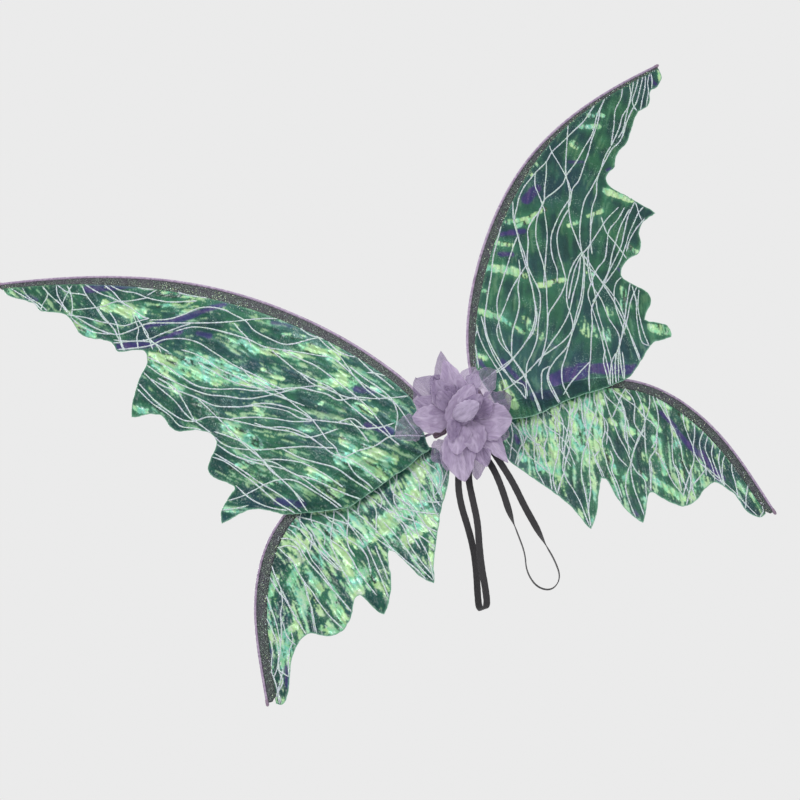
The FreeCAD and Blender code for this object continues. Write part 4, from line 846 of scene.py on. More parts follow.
def chiffon_material(name, see_through, dark, light):
    """Sheer lilac chiffon: fine crossed threads, long soft creases with painted crease shade and highlight in the
    colour, and a pale heat-cut edge.
    """
    m, nt, b = material(name)
    uv = nt.nodes.new("ShaderNodeUVMap")
    uv.uv_map = "cut"
    ws = []
    for d in ("X", "Y"):
        w = nt.nodes.new("ShaderNodeTexWave")
        w.bands_direction = d
        w.inputs["Scale"].default_value = 40.0
        w.inputs["Distortion"].default_value = 0.6
        nt.links.new(uv.outputs["UV"], w.inputs["Vector"])
        ws.append(w.outputs["Fac"])
    weave = math_node(nt, "MULTIPLY", math_node(nt, "ADD", ws[0], ws[1]), 0.5)
    mp = nt.nodes.new("ShaderNodeMapping")
    mp.inputs["Scale"].default_value = (4.0, 13.0, 1.0)
    nt.links.new(uv.outputs["UV"], mp.inputs["Vector"])
    crease_relief_and_shade = noise(nt, mp.outputs["Vector"], 1.0, 3.0, 0.6, 1.4)
    vec = coords(nt, (1, 1, 1))
    cloud = noise(nt, vec, 45.0, 3.0, 0.6)
    at = nt.nodes.new("ShaderNodeAttribute")
    at.attribute_name = "edge"
    # Painted shade and highlight: the colour runs dark to light along the crease noise, so the folds are shaded in the
    # colour as well as in the bump.
    both = math_node(nt, "ADD", math_node(nt, "MULTIPLY", crease_relief_and_shade, 0.6), math_node(nt, "MULTIPLY", cloud, 0.4))
    col = mixcol(nt, maprange(nt, both, 0.30, 0.68, 0.0, 1.0), tuple(lin(*dark)), tuple(lin(*light)))
    col = mixcol(nt, maprange(nt, weave, 0.2, 0.9, 0.0, 0.16), col, tuple(lin(232, 224, 240)))
    col = mixcol(nt, math_node(nt, "MULTIPLY", at.outputs["Fac"], 0.42), col, tuple(lin(232, 222, 238)))
    nt.links.new(col, b.inputs["Base Color"])
    b.inputs["Roughness"].default_value = 0.62
    b.inputs["Sheen Weight"].default_value = 0.25
    b.inputs["Sheen Roughness"].default_value = 0.4
    h = math_node(nt, "ADD", math_node(nt, "MULTIPLY", weave, 0.5), math_node(nt, "MULTIPLY", crease_relief_and_shade, 3.0))
    bump(nt, b, h, 0.35, 0.0005)
    tr = nt.nodes.new("ShaderNodeBsdfTransparent")
    tr.inputs["Color"].default_value = (0.92, 0.87, 0.95, 1.0)
    tl = nt.nodes.new("ShaderNodeBsdfTranslucent")
    nt.links.new(col, tl.inputs["Color"])
    m1 = nt.nodes.new("ShaderNodeMixShader")
    m1.inputs["Fac"].default_value = 0.3
    nt.links.new(b.outputs["BSDF"], m1.inputs[1])
    nt.links.new(tl.outputs["BSDF"], m1.inputs[2])
    m2 = nt.nodes.new("ShaderNodeMixShader")
    a = maprange(nt, crease_relief_and_shade, 0.35, 0.65, max(0.0, see_through + 0.14), max(0.0, see_through - 0.14))
    a = math_node(nt, "MULTIPLY", a, math_node(nt, "SUBTRACT", 1.0, math_node(nt, "MULTIPLY", at.outputs["Fac"], 0.25)))
    nt.links.new(a, m2.inputs["Fac"])
    nt.links.new(m1.outputs["Shader"], m2.inputs[1])
    nt.links.new(tr.outputs["BSDF"], m2.inputs[2])
    nt.links.new(m2.outputs["Shader"], nt.nodes["Material Output"].inputs["Surface"])
    return m


def simple_material(name, base, vary, rough, metal=0.0, scale=400.0, depth=0.0002):
    m, nt, b = material(name)
    vec = coords(nt, (1, 1, 1))
    n1 = noise(nt, vec, scale, 4.0, 0.6)
    col = ramp(nt, n1, [(0.35, tuple(lin(*base))), (0.65, tuple(lin(*vary)))])
    nt.links.new(col, b.inputs["Base Color"])
    nt.links.new(maprange(nt, n1, 0.3, 0.7, rough * 0.8, min(1.0, rough * 1.2)), b.inputs["Roughness"])
    b.inputs["Metallic"].default_value = metal
    bump(nt, b, n1, 0.4, depth)
    return m


FILM = film_material()
STRAND = glitter_thread_material()
HEM_MAT = hem_material()
FLAKE = flake_material()
SPAR_MAT = spar_material()
ELASTIC = elastic_material()
FELT = cloth_material("lilac_felt", (96, 80, 98), (132, 114, 134), (160, 144, 160))
FELT_DISC = cloth_material("flower_felt", (120, 104, 126), (150, 134, 156), (176, 162, 182))
CHIFFON_A = chiffon_material("chiffon_full", 0.36, (170, 150, 184), (216, 202, 226))
CHIFFON_B = chiffon_material("chiffon_sheer", 0.74, (140, 128, 154), (196, 186, 208))
CHIFFON_C = chiffon_material("chiffon_dark", 0.58, (96, 84, 114), (154, 140, 170))
STEEL = simple_material("steel_wire", (120, 118, 116), (190, 188, 184), 0.32, 1.0, 900.0)
BOARD = simple_material("grey_board", (118, 110, 98), (160, 152, 138), 0.85, 0.0, 500.0)
GLUE = simple_material("hot_glue", (196, 186, 160), (222, 214, 192), 0.28, 0.0, 120.0)
THREAD = cloth_material("sewing_thread", (150, 136, 158), (186, 172, 194), (214, 204, 220), 1500.0, 0.2, 0.7, 0.0003)
TIPWRAP = cloth_material("tip_wrap", (104, 86, 104), (146, 124, 146), (184, 164, 184), 1200.0, 0.1, 0.6, 0.0003)


# ---------------------------------------------------------------- elastic loops
def route_line(name, pts):
    cu = bpy.data.curves.new(name, "CURVE")
    cu.dimensions = "3D"
    sp = cu.splines.new("NURBS")
    sp.points.add(len(pts) - 1)
    for q, c in zip(sp.points, pts):
        q.co = (c[0], c[1], c[2], 1.0)
    sp.order_u = 3
    sp.use_endpoint_u = True
    cu.resolution_u = 14
    ob = bpy.data.objects.new(name, cu)
    bpy.context.scene.collection.objects.link(ob)
    me = bpy.data.meshes.new_from_object(ob.evaluated_get(bpy.context.evaluated_depsgraph_get()))
    line = np.array([v.co for v in me.vertices], float)
    bpy.data.meshes.remove(me)
    bpy.data.objects.remove(ob)
    bpy.data.curves.remove(cu)
    return line


def ribbon(name, line, twist, width=8.0, thick=1.1):
    """Flat ribbed band about a line; twist gives how far its width turns from across to fore-and-aft."""
    P = line / MM
    T = tangents(P)

    def across(v):
        w = v - (T @ v)[:, None] * T
        return w / np.linalg.norm(w, axis=1)[:, None]
    X, Y = across(np.array([1.0, 0, 0])), across(np.array([0, 1.0, 0]))
    tw = np.array([twist(i / (len(P) - 1), p) for i, p in enumerate(P)])[:, None]
    S = np.cos(tw * math.pi / 2) * X + np.sin(tw * math.pi / 2) * Y
    for _ in range(6):
        S[1:-1] = 0.25 * S[:-2] + 0.5 * S[1:-1] + 0.25 * S[2:]
        S -= (S * T).sum(1)[:, None] * T
        S /= np.linalg.norm(S, axis=1)[:, None]
    U = np.cross(T, S)
    k = 25
    a = np.linspace(-1, 1, k)
    half = thick / 2 * (1 - 0.55 * np.abs(a) ** 8) + 0.07 * np.cos(a * math.pi * 6)
    ring = np.concatenate([np.stack([a * width / 2, half], 1), np.stack([a[::-1] * width / 2, -half[::-1]], 1)])
    run = np.concatenate([[0], np.cumsum(np.linalg.norm(np.diff(P, axis=0), axis=1))])
    squeeze = 1 + 0.018 * np.sin(run * 0.9) + 0.012 * np.sin(run * 0.37 + 1)
    V, loops, starts = tube_arrays(P, S, U, ring, squeeze)
    ob = link_fast(name, V * MM, loops, starts, ELASTIC)
    uv = ob.data.uv_layers.new(name="run")
    vi = np.zeros(len(ob.data.loops), np.int32)
    ob.data.loops.foreach_get("vertex_index", vi)
    m = len(ring)
    u = run[vi // m] / 100.0
    v = (ring[vi % m, 0] / width + 0.5)
    uv.data.foreach_set("uv", np.stack([u, v], 1).astype(np.float32).ravel())
    return ob


left_line = route_line("left_route", LEFT_ROUTE_M)
right_line = route_line("right_route", RIGHT_ROUTE_M)
left_strap = ribbon("left_shoulder_elastic", left_line, lambda t, p: 0.0)
right_strap = ribbon("right_shoulder_elastic", right_line,
                     lambda t, p: float(step01(-122, -158, p[2]) if t < 0.5 else step01(-152, -196, p[2])))
for ob, line, nm, length in ((left_strap, left_line, "left_shoulder_strap", 0.405),
                             (right_strap, right_line, "right_shoulder_strap", 0.414)):
    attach(ob, "hub")
    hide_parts(nm)


# ---------------------------------------------------------------- stage and light
def make_stage():
    m, nt, b = material("pale_floor")
    vec = coords(nt, (1, 1, 1))
    n1 = noise(nt, vec, 1.2, 3.0, 0.5)
    nt.links.new(mixcol(nt, n1, (0.80, 0.80, 0.80), (0.83, 0.83, 0.83)), b.inputs["Base Color"])
    b.inputs["Roughness"].default_value = 0.9
    k = 96
    v = [(0, 0, 0)] + [(2.3 * math.cos(i / k * 2 * math.pi), 2.3 * math.sin(i / k * 2 * math.pi), 0) for i in range(k)]
    f = [(0, i + 1, (i + 1) % k + 1) for i in range(k)]
    v = [(x, y, -1.30) for x, y, z in v]
    ob = link("studio_floor", v, f, m, smooth=False)
    w = bpy.data.worlds.new("studio")
    bpy.context.scene.world = w
    w.use_nodes = True
    nt = w.node_tree
    bg = nt.nodes["Background"]
    bg.inputs["Color"].default_value = (0.80, 0.81, 0.82, 1)
    bg.inputs["Strength"].default_value = 0.62
    bg2 = nt.nodes.new("ShaderNodeBackground")
    bg2.inputs["Color"].default_value = (0.83, 0.83, 0.83, 1)
    lp = nt.nodes.new("ShaderNodeLightPath")
    mx = nt.nodes.new("ShaderNodeMixShader")
    nt.links.new(lp.outputs["Is Camera Ray"], mx.inputs["Fac"])
    nt.links.new(bg.outputs[0], mx.inputs[1])
    nt.links.new(bg2.outputs[0], mx.inputs[2])
    nt.links.new(mx.outputs[0], nt.nodes["World Output"].inputs["Surface"])

    def area(name, where, aim, size, watts):
        li = bpy.data.lights.new(name, "AREA")
        li.shape = "DISK"
        li.size = size
        li.energy = watts
        o = bpy.data.objects.new(name, li)
        bpy.context.scene.collection.objects.link(o)
        d = Vector(aim) - Vector(where)
        o.rotation_euler = d.to_track_quat("-Z", "Y").to_euler()
        o.location = where
    area("key", (-1.3, -2.6, 2.0), (0, 0, 0), 1.3, 62)
    area("fill", (2.2, -2.4, 0.6), (0, 0, 0), 1.8, 26)
    area("top", (0.2, 0.6, 2.8), (0, 0, 0), 1.6, 26)
    area("back", (-1.0, 3.0, 1.4), (0, 0, 0), 1.8, 48)


make_stage()
sc = bpy.context.scene
sc.view_settings.view_transform = "Standard"
sc.view_settings.look = "None"
sc.cycles.transparent_max_bounces = 24


# ---------------------------------------------------------------- wings
def inside(poly, x, y):
    res = np.zeros(x.shape, bool)
    a = poly
    b = np.roll(poly, -1, axis=0)
    for (x0, y0), (x1, y1) in zip(a, b):
        if y0 == y1:
            continue
        lo, hi = (y0, y1) if y0 < y1 else (y1, y0)
        m = (y > lo) & (y <= hi)
        if not m.any():
            continue
        xi = x0 + (y[m] - y0) * (x1 - x0) / (y1 - y0)
        r = res[m]
        r ^= x[m] < xi
        res[m] = r
    return res


def ragged(points, step=2.0, seed=0):
    """Torn film edge: smooth between sharp points, with a slight waver."""
    P = np.array(points, float)
    sharp = [0]
    for i in range(1, len(P) - 1):
        a = P[i] - P[i - 1]
        b = P[i + 1] - P[i]
        turn = abs(math.atan2(a[0] * b[1] - a[1] * b[0], a @ b))
        if turn > math.radians(62):
            sharp.append(i)
    sharp.append(len(P) - 1)
    out = []
    for a, b in zip(sharp[:-1], sharp[1:]):
        seg = through(P[a:b + 1], step)
        out.append(seg if a == 0 else seg[1:])
    Q = np.concatenate(out)
    T = tangents(Q)
    run = np.concatenate([[0], np.cumsum(np.linalg.norm(np.diff(Q, axis=0), axis=1))])
    w = (vnoise(run / 7.0, run * 0 + seed, 900 + seed, 2) - 0.5) * 1.5
    w[:3] = 0
    w[-3:] = 0
    return Q + np.stack([T[:, 1], -T[:, 0]], 1) * w[:, None]


class Raster:
    def __init__(self, lo, hi, cell=1.0):
        self.lo, self.cell = np.array(lo, float), cell
        self.nx = int((hi[0] - lo[0]) / cell) + 2
        self.ny = int((hi[1] - lo[1]) / cell) + 2
        self.X, self.Y = np.meshgrid(lo[0] + np.arange(self.nx) * cell, lo[1] + np.arange(self.ny) * cell)

    def sample(self, arr, p):
        q = (np.asarray(p, float) - self.lo) / self.cell
        x = np.clip(q[:, 0], 0, self.nx - 1.001)
        y = np.clip(q[:, 1], 0, self.ny - 1.001)
        i, j = x.astype(int), y.astype(int)
        u, v = x - i, y - j
        if arr.ndim == 3:
            u, v = u[:, None], v[:, None]
        return (arr[j, i] * (1 - u) * (1 - v) + arr[j, i + 1] * u * (1 - v)
                + arr[j + 1, i] * (1 - u) * v + arr[j + 1, i + 1] * u * v)


def box_blur(a, r):
    if r < 1:
        return a
    for ax in (0, 1):
        pad = [(0, 0), (0, 0)]
        pad[ax] = (r + 1, r)
        c = np.cumsum(np.pad(a, pad, mode="edge"), axis=ax)
        n = a.shape[ax]
        hi = np.take(c, np.arange(2 * r + 1, 2 * r + 1 + n), axis=ax)
        lo = np.take(c, np.arange(0, n), axis=ax)
        a = (hi - lo) / (2 * r + 1)
    return a


def streaks(ra, cx, sx, seed, blur, length):
    """Noise drawn out along the lie of the threads, mean 0 and spread 1."""
    rng = np.random.default_rng(seed)
    base = box_blur(rng.random((ra.ny, ra.nx)), blur)
    acc = base.copy()
    th = 0.5 * np.arctan2(sx, cx)
    dx0, dy0 = np.cos(th), np.sin(th)
    I, J = np.meshgrid(np.arange(ra.nx), np.arange(ra.ny))
    for sg in (1.0, -1.0):
        px, py = I.astype(float), J.astype(float)
        dx, dy = dx0 * sg, dy0 * sg
        for k in range(length):
            px = px + dx
            py = py + dy
            ii = np.clip(np.rint(px).astype(int), 0, ra.nx - 1)
            jj = np.clip(np.rint(py).astype(int), 0, ra.ny - 1)
            acc += base[jj, ii]
            nx_, ny_ = dx0[jj, ii], dy0[jj, ii]
            flip = np.where(nx_ * dx + ny_ * dy < 0, -1.0, 1.0)
            dx, dy = nx_ * flip, ny_ * flip
    acc = acc - acc.mean()
    return acc / acc.std()


def facets(x, y, seed, size, ratio, angle):
    """Crumpled facets: a value and a height for each point."""
    a = math.radians(angle)
    u = (x * math.cos(a) + y * math.sin(a)) / (size * ratio)
    v = (-x * math.sin(a) + y * math.cos(a)) / size
    rng = np.random.default_rng(seed)
    jit = rng.random((256, 256, 2))
    val = rng.random((256, 256))
    tilt = rng.random((256, 256, 2)) - 0.5
    iu, iv = np.floor(u).astype(int), np.floor(v).astype(int)
    best = np.full(x.shape, 1e9)
    value = np.zeros(x.shape)
    height = np.zeros(x.shape)
    for du in (-1, 0, 1):
        for dv in (-1, 0, 1):
            cu, cv = iu + du, iv + dv
            ju, jv = cu & 255, cv & 255
            px = cu + jit[ju, jv, 0]
            py = cv + jit[ju, jv, 1]
            ex, ey = u - px, v - py
            d = ex * ex + ey * ey
            m = d < best
            best = np.where(m, d, best)
            value = np.where(m, val[ju, jv], value)
            height = np.where(m, (ex * tilt[ju, jv, 0] + ey * tilt[ju, jv, 1]) * 2, height)
    return value, height


def capsule_mask(ra, items, wob):
    M = np.zeros(ra.X.shape)
    for x0, y0, x1, y1, r, s in items:
        r = max(r, 2.6)
        reach = r * 2.2 + 4
        bx0, bx1 = min(x0, x1) - reach, max(x0, x1) + reach
        by0, by1 = min(y0, y1) - reach, max(y0, y1) + reach
        i0 = max(0, int((bx0 - ra.lo[0]) / ra.cell)); i1 = min(ra.nx, int((bx1 - ra.lo[0]) / ra.cell) + 1)
        j0 = max(0, int((by0 - ra.lo[1]) / ra.cell)); j1 = min(ra.ny, int((by1 - ra.lo[1]) / ra.cell) + 1)
        if i0 >= i1 or j0 >= j1:
            continue
        X, Y = ra.X[j0:j1, i0:i1], ra.Y[j0:j1, i0:i1]
        vx, vy = x1 - x0, y1 - y0
        L = vx * vx + vy * vy + 1e-9
        t = np.clip(((X - x0) * vx + (Y - y0) * vy) / L, 0, 1)
        d = np.hypot(X - x0 - t * vx, Y - y0 - t * vy) / r
        d = d * (1 + 0.9 * (wob[j0:j1, i0:i1] - 0.5))
        M[j0:j1, i0:i1] = np.maximum(M[j0:j1, i0:i1], s * (1 - step01(0.75, 1.45, d)))
    return M


TEAL_A, TEAL_B, TEAL_C = lin(18, 70, 58), lin(42, 104, 68), lin(20, 56, 78)
# MINT, LIME, CYAN and CREAM are painted highlight colours; INDIGO and PLUM the painted violet reflection; OLIVE the
# painted shade in the crinkle gaps.
MINT, LIME, CYAN, CREAM = lin(142, 214, 160), lin(182, 224, 156), lin(122, 204, 176), lin(208, 238, 192)
INDIGO, PLUM, OLIVE = lin(50, 44, 104), lin(80, 58, 116), lin(34, 50, 30)
LOOK = {  # crinkle angle, facet size, ratio, share of cross-flow facets, strength of the painted glints and sheen, lift of the painted highlights
    "upper_left": (60, 8.0, 3.0, 0.55, 0.60, 0.12), "upper_right": (70, 12.0, 2.2, 0.20, 0.10, 0.15),
    "lower_right": (95, 6.5, 4.2, 0.60, 0.85, 0.25), "lower_left": (60, 9.0, 1.7, 1.00, 1.00, 0.60),
}


def build_wing(name, seed):
    level, side = name.split("_")
    left = side == "left"
    face = -1.0 if level == "upper" else 1.0
    n0 = face * LAYER
    start, stop = (23.0, 8.5) if level == "upper" else (17.0, 8.5)
    rng = np.random.default_rng(seed)

    line = quad_line(SPAR[name], 3.0)
    run = np.concatenate([[0], np.cumsum(np.linalg.norm(np.diff(line, axis=0), axis=1))])
    C = np.array(SPAR[name], float)
    stations = np.concatenate([[0], np.cumsum(np.linalg.norm(np.diff(C, axis=0), axis=1))])
    width = np.interp(run * stations[-1] / run[-1], stations, HEM[name])
    T = tangents(line)
    N = np.stack([T[:, 1], -T[:, 0]], 1)
    front = line + N * width[:, None]
    use = (run > start) & (run < run[-1] - stop)
    film_front = front[use]
    edge = ragged(EDGE[name], 2.0, seed)
    outline = np.concatenate([film_front, edge])

    lo = outline.min(0) - 6
    hi = outline.max(0) + 6
    ra = Raster(lo, hi, 0.8)

    # threads: guide lines made smooth, and the way they lie
    guides = [through(g, 1.6) for g in STRANDS[name]]
    if level == "lower":
        guides += hidden_threads(name, rng)
    gp = np.concatenate([g[::4] for g in guides if len(g) > 4])
    gd = np.concatenate([tangents(g)[::4] for g in guides if len(g) > 4])
    co = Raster(lo, hi, 9.0)
    G = np.stack([co.X.ravel(), co.Y.ravel()], 1)
    c2 = np.zeros(len(G))
    s2 = np.zeros(len(G))
    for a in range(0, len(gp), 400):
        q, d = gp[a:a + 400], gd[a:a + 400]
        w = np.exp(-((G[:, None, :] - q[None]) ** 2).sum(-1) / (2 * 22.0 ** 2)) + 1e-7
        c2 += (w * (d[:, 0] ** 2 - d[:, 1] ** 2)[None]).sum(1)
        s2 += (w * (2 * d[:, 0] * d[:, 1])[None]).sum(1)
    nrm = np.hypot(c2, s2) + 1e-9
    pts = np.stack([ra.X.ravel(), ra.Y.ravel()], 1)
    cx = co.sample((c2 / nrm).reshape(co.ny, co.nx), pts).reshape(ra.ny, ra.nx)
    sx = co.sample((s2 / nrm).reshape(co.ny, co.nx), pts).reshape(ra.ny, ra.nx)
    fine = streaks(ra, cx, sx, seed + 1, 1, 10)
    broad = streaks(ra, cx, sx, seed + 2, 3, 22)

    wob = vnoise(ra.X / 11.0, ra.Y / 11.0, seed + 3, 3)
    # F marks where the painted highlights go.
    F = capsule_mask(ra, PAINTED_HIGHLIGHTS[name], wob)
    V = capsule_mask(ra, VIOLET_REFLECTION[name], wob)
    P = capsule_mask(ra, PLAIN[name], wob)
    angle, size, ratio, crossf, glint_sheen_amount, highlight_lift = LOOK[name]
    hair = streaks(ra, cx, sx, seed + 21, 0, 3)
    highlight_glow = box_blur(box_blur(F, 7), 7)
    cell, tilt = facets(ra.X + 5 * (wob - 0.5), ra.Y + 5 * (wob - 0.5), seed + 4, size, ratio, angle)
    low = vnoise(ra.X / 70.0, ra.Y / 70.0, seed + 5, 2) - 0.5
    mid = vnoise(ra.X / 24.0, ra.Y / 24.0, seed + 6, 2) - 0.5

    # colour, with painted light in it: highlights, glints, sheen streaks, crinkle shade and violet reflection
    # Painted highlights: b decides where the crinkles flash mint and lime in reflected light, inside the painted
    # highlight patches.
    b = 0.62 * fine + 0.42 * broad + 1.9 * (F - 0.42) + crossf * (cell - 0.5) * 1.3
    crack = facets(ra.X + 3 * (wob - 0.5), ra.Y + 3 * (wob - 0.5), seed + 41, 2.6, 3.2, angle)[0] - 0.5
    b = b + 0.9 * crack + highlight_lift + 0.16 * hair
    highlight_paint = step01(0.22, 0.42, b) * step01(0.06, 0.25, F)
    # Painted glints scattered over the film, outside the plain zones.
    glint = step01(1.25, 1.55, 0.7 * fine + 0.8 * broad + 2.4 * mid + 1.1 * crack - 1.1 * P + 1.6 * max(0.0, highlight_lift - 0.1)) * glint_sheen_amount
    highlight_paint = np.maximum(highlight_paint, glint * (1 - P))
    # Painted shade: olive-dark gaps between the crinkle highlights, mixed into the colour further down.
    dark = step01(0.35, 0.9, -0.75 * fine - 0.40 * broad + 0.8 * (cell - 0.5) + 0.9 * crack) * step01(0.12, 0.5, F) * (1 - 0.8 * P)
    t1 = step01(-0.25, 0.25, mid + 0.1 * broad)[..., None]
    t2 = step01(0.0, 0.3, low + 0.35 * (cell - 0.5) * crossf)[..., None]
    col = TEAL_A * (1 - t1) + TEAL_B * t1
    col = col * (1 - 0.5 * t2) + TEAL_C * 0.5 * t2
    # Painted sheen: the base brightens and darkens along the thread streaks, scaled by the glint and sheen amount.
    col = col * (1 + np.clip(0.13 * broad + 0.09 * fine, -0.35, 0.5) * (0.15 + glint_sheen_amount) * (1 - 0.5 * P))[..., None]
    # Painted highlight glow: a soft paler green around the painted highlights.
    gl = np.clip(highlight_glow * 1.1, 0, 0.6)[..., None]
    col = col * (1 - gl) + lin(66, 146, 98) * gl
    # Painted highlight colour: mint, lime, cyan or cream, wherever the crinkles catch the light.
    hue = vnoise(ra.X / 17.0 + 40, ra.Y / 17.0, seed + 7, 2) + 0.20 * (cell - 0.5) + 0.16 * crack + 0.03 * fine
    k1 = step01(0.50, 0.66, hue)[..., None]
    k2 = step01(0.42, 0.28, hue)[..., None]
    highlight_colour = MINT * (1 - k1) * (1 - k2) + LIME * k1 + CYAN * k2
    k3 = step01(0.4, 1.2, 0.6 * fine + 0.3 * broad + 1.2 * crack)[..., None]
    highlight_colour = highlight_colour * (1 - 0.55 * k3) + CREAM * 0.55 * k3
    col = col * (1 - dark[..., None] * 0.85) + OLIVE * dark[..., None] * 0.85
    col = col * (1 - highlight_paint[..., None]) + highlight_colour * highlight_paint[..., None]
    # Painted glints: pale sparkle specks along the thread streaks.
    lo_t = 1.3 - 0.7 * highlight_lift
    glint_specks = (step01(lo_t, lo_t + 0.4, hair) * np.clip((0.25 + 0.5 * highlight_lift) * (glint_sheen_amount > 0.3) + F, 0, 1) * 0.85 * (1 - 0.7 * P))[..., None]
    col = col * (1 - glint_specks) + lin(212, 220, 212) * glint_specks
    # Painted reflection: violet and indigo patches laid over the film colour.
    V = box_blur(V, 2)
    v = step01(0.10, 0.80, V + 0.08 * broad + 0.4 * mid)[..., None] * 0.9 * (V[..., None] > 0.02)
    vi = INDIGO + (PLUM - INDIGO) * step01(-0.5, 1.2, fine)[..., None]
    col = col * (1 - v) + vi * v

    # crinkles
    rough = (0.18 + 0.95 * F) * (1 - 0.6 * P)
    disp = 2.6 * low + 1.6 * mid * (0.4 + F) + rough * (0.42 * fine + 0.50 * broad + 1.0 * tilt)
    disp = np.clip(disp, -2.3, 2.3)

    # film mesh: points on a triangle lattice inside the outline
    h = 1.5
    gx, gy = np.meshgrid(np.arange(lo[0], hi[0], h), np.arange(lo[1], hi[1], h * 0.866))
    gx = gx + (np.arange(gy.shape[0]) % 2)[:, None] * h / 2
    gx = gx + (rng.random(gx.shape) - 0.5) * 0.4
    gy = gy + (rng.random(gy.shape) - 0.5) * 0.4
    q = np.stack([gx.ravel(), gy.ravel()], 1)
    q = q[inside(outline, q[:, 0], q[:, 1])]
    # distance to the outline through a coarse map
    ol = []
    for a, bb in zip(outline, np.roll(outline, -1, axis=0)):
        n = max(1, int(np.linalg.norm(bb - a) / 1.0))
        ol.append(a + (bb - a) * (np.arange(n) / n)[:, None])
    ol = np.concatenate(ol)
    from mathutils.kdtree import KDTree
    kd = KDTree(len(ol))
    for i, p in enumerate(ol):
        kd.insert((p[0], p[1], 0), i)
    kd.balance()
    dist = np.array([kd.find((p[0], p[1], 0))[2] for p in q])
    q = q[dist > 1.1]
    pts2 = np.concatenate([outline, q])
    n_out = len(outline)
    edges = [(i, (i + 1) % n_out) for i in range(n_out)]
    vs, es, fs = delaunay_2d_cdt([Vector(p) for p in pts2], edges, [], 1, 1e-5)[:3]
    Vp = np.array([(p.x, p.y) for p in vs])
    tri = np.array([f for f in fs if len(f) == 3], int)
    cen = Vp[tri].mean(1)
    tri = tri[inside(outline, cen[:, 0], cen[:, 1])]
    used = np.unique(tri)
    remap = np.full(len(Vp), -1)
    remap[used] = np.arange(len(used))
    Vp, tri = Vp[used], remap[tri]
    area2 = ((Vp[tri[:, 1]] - Vp[tri[:, 0]])[:, 0] * (Vp[tri[:, 2]] - Vp[tri[:, 0]])[:, 1]
             - (Vp[tri[:, 1]] - Vp[tri[:, 0]])[:, 1] * (Vp[tri[:, 2]] - Vp[tri[:, 0]])[:, 0])
    tri[area2 < 0] = tri[area2 < 0][:, ::-1]

    kf = KDTree(len(film_front))
    for i, p in enumerate(film_front):
        kf.insert((p[0], p[1], 0), i)
    kf.balance()

    def calm(p):
        d = np.array([kf.find((a, c, 0))[2] for a, c in p])
        return step01(0.0, 14.0, d)

    def lift(p):
        return ra.sample(disp, p) * calm(p)
    z = lift(Vp)
    nv = len(Vp)
    half = 0.14
    A = np.stack([Vp[:, 0], n0 + z - half, Vp[:, 1]], 1)
    B = np.stack([Vp[:, 0], n0 + z + half, Vp[:, 1]], 1)
    allv = to_world(np.concatenate([A, B]), left)
    ek = {}
    for t in tri:
        for a, bq in ((t[0], t[1]), (t[1], t[2]), (t[2], t[0])):
            if (bq, a) in ek:
                del ek[(bq, a)]
            else:
                ek[(a, bq)] = 1
    rim = np.array(list(ek), int)
    f1 = tri if not left else tri[:, ::-1]
    f2 = (tri[:, ::-1] if not left else tri) + nv
    loops = np.concatenate([f1.ravel(), f2.ravel()])
    starts = np.arange(0, len(loops), 3)
    side_q = np.stack([rim[:, 1], rim[:, 0], rim[:, 0] + nv, rim[:, 1] + nv], 1)
    if left:
        side_q = side_q[:, ::-1]
    starts = np.concatenate([starts, len(loops) + np.arange(0, side_q.size, 4)])
    loops = np.concatenate([loops, side_q.ravel()])
    film = link_fast(name + "_film_sheet", allv, loops, starts, FILM, flat_from=2 * len(tri))

    # colour of each point; the cut edge is sealed and paler
    c = ra.sample(col, Vp)
    dedge = np.array([kd.find((p[0], p[1], 0))[2] for p in Vp])
    dfront = np.array([kf.find((p[0], p[1], 0))[2] for p in Vp])
    seal = (1 - step01(0.6, 2.4, dedge)) * step01(1.5, 5.0, dfront) * 0.40
    c = c * (1 - seal[:, None]) + np.array(lin(140, 200, 168)) * seal[:, None]
    fr = (1 - step01(0.0, 3.5, dfront)) * 0.30
    c = c * (1 - fr[:, None]) + np.array(lin(120, 180, 140)) * fr[:, None]
    at = film.data.color_attributes.new("film_colour", "FLOAT_COLOR", "POINT")
    rgba = np.ones((2 * nv, 4), np.float32)
    rgba[:nv, :3] = c
    rgba[nv:, :3] = c
    at.data.foreach_set("color", rgba.ravel())
    thin = np.full(nv, 0.045)
    if level == "upper":
        other = "lower_" + side
        ol2 = np.concatenate([quad_line(SPAR[other], 3.0), ragged(EDGE[other], 2.0, seed)])
        thin[inside(ol2, Vp[:, 0], Vp[:, 1])] = 0.38 if left else 0.52
    ta = film.data.attributes.new("film_thin", "FLOAT", "POINT")
    ta.data.foreach_set("value", np.concatenate([thin, thin]).astype(np.float32))

    # threads laid in the film
    ba = Batch()
    grains = []
    for gi, g in enumerate(guides):
        ok = inside(outline, g[:, 0], g[:, 1])
        idx = np.where(ok)[0]
        if len(idx) < 3:
            continue
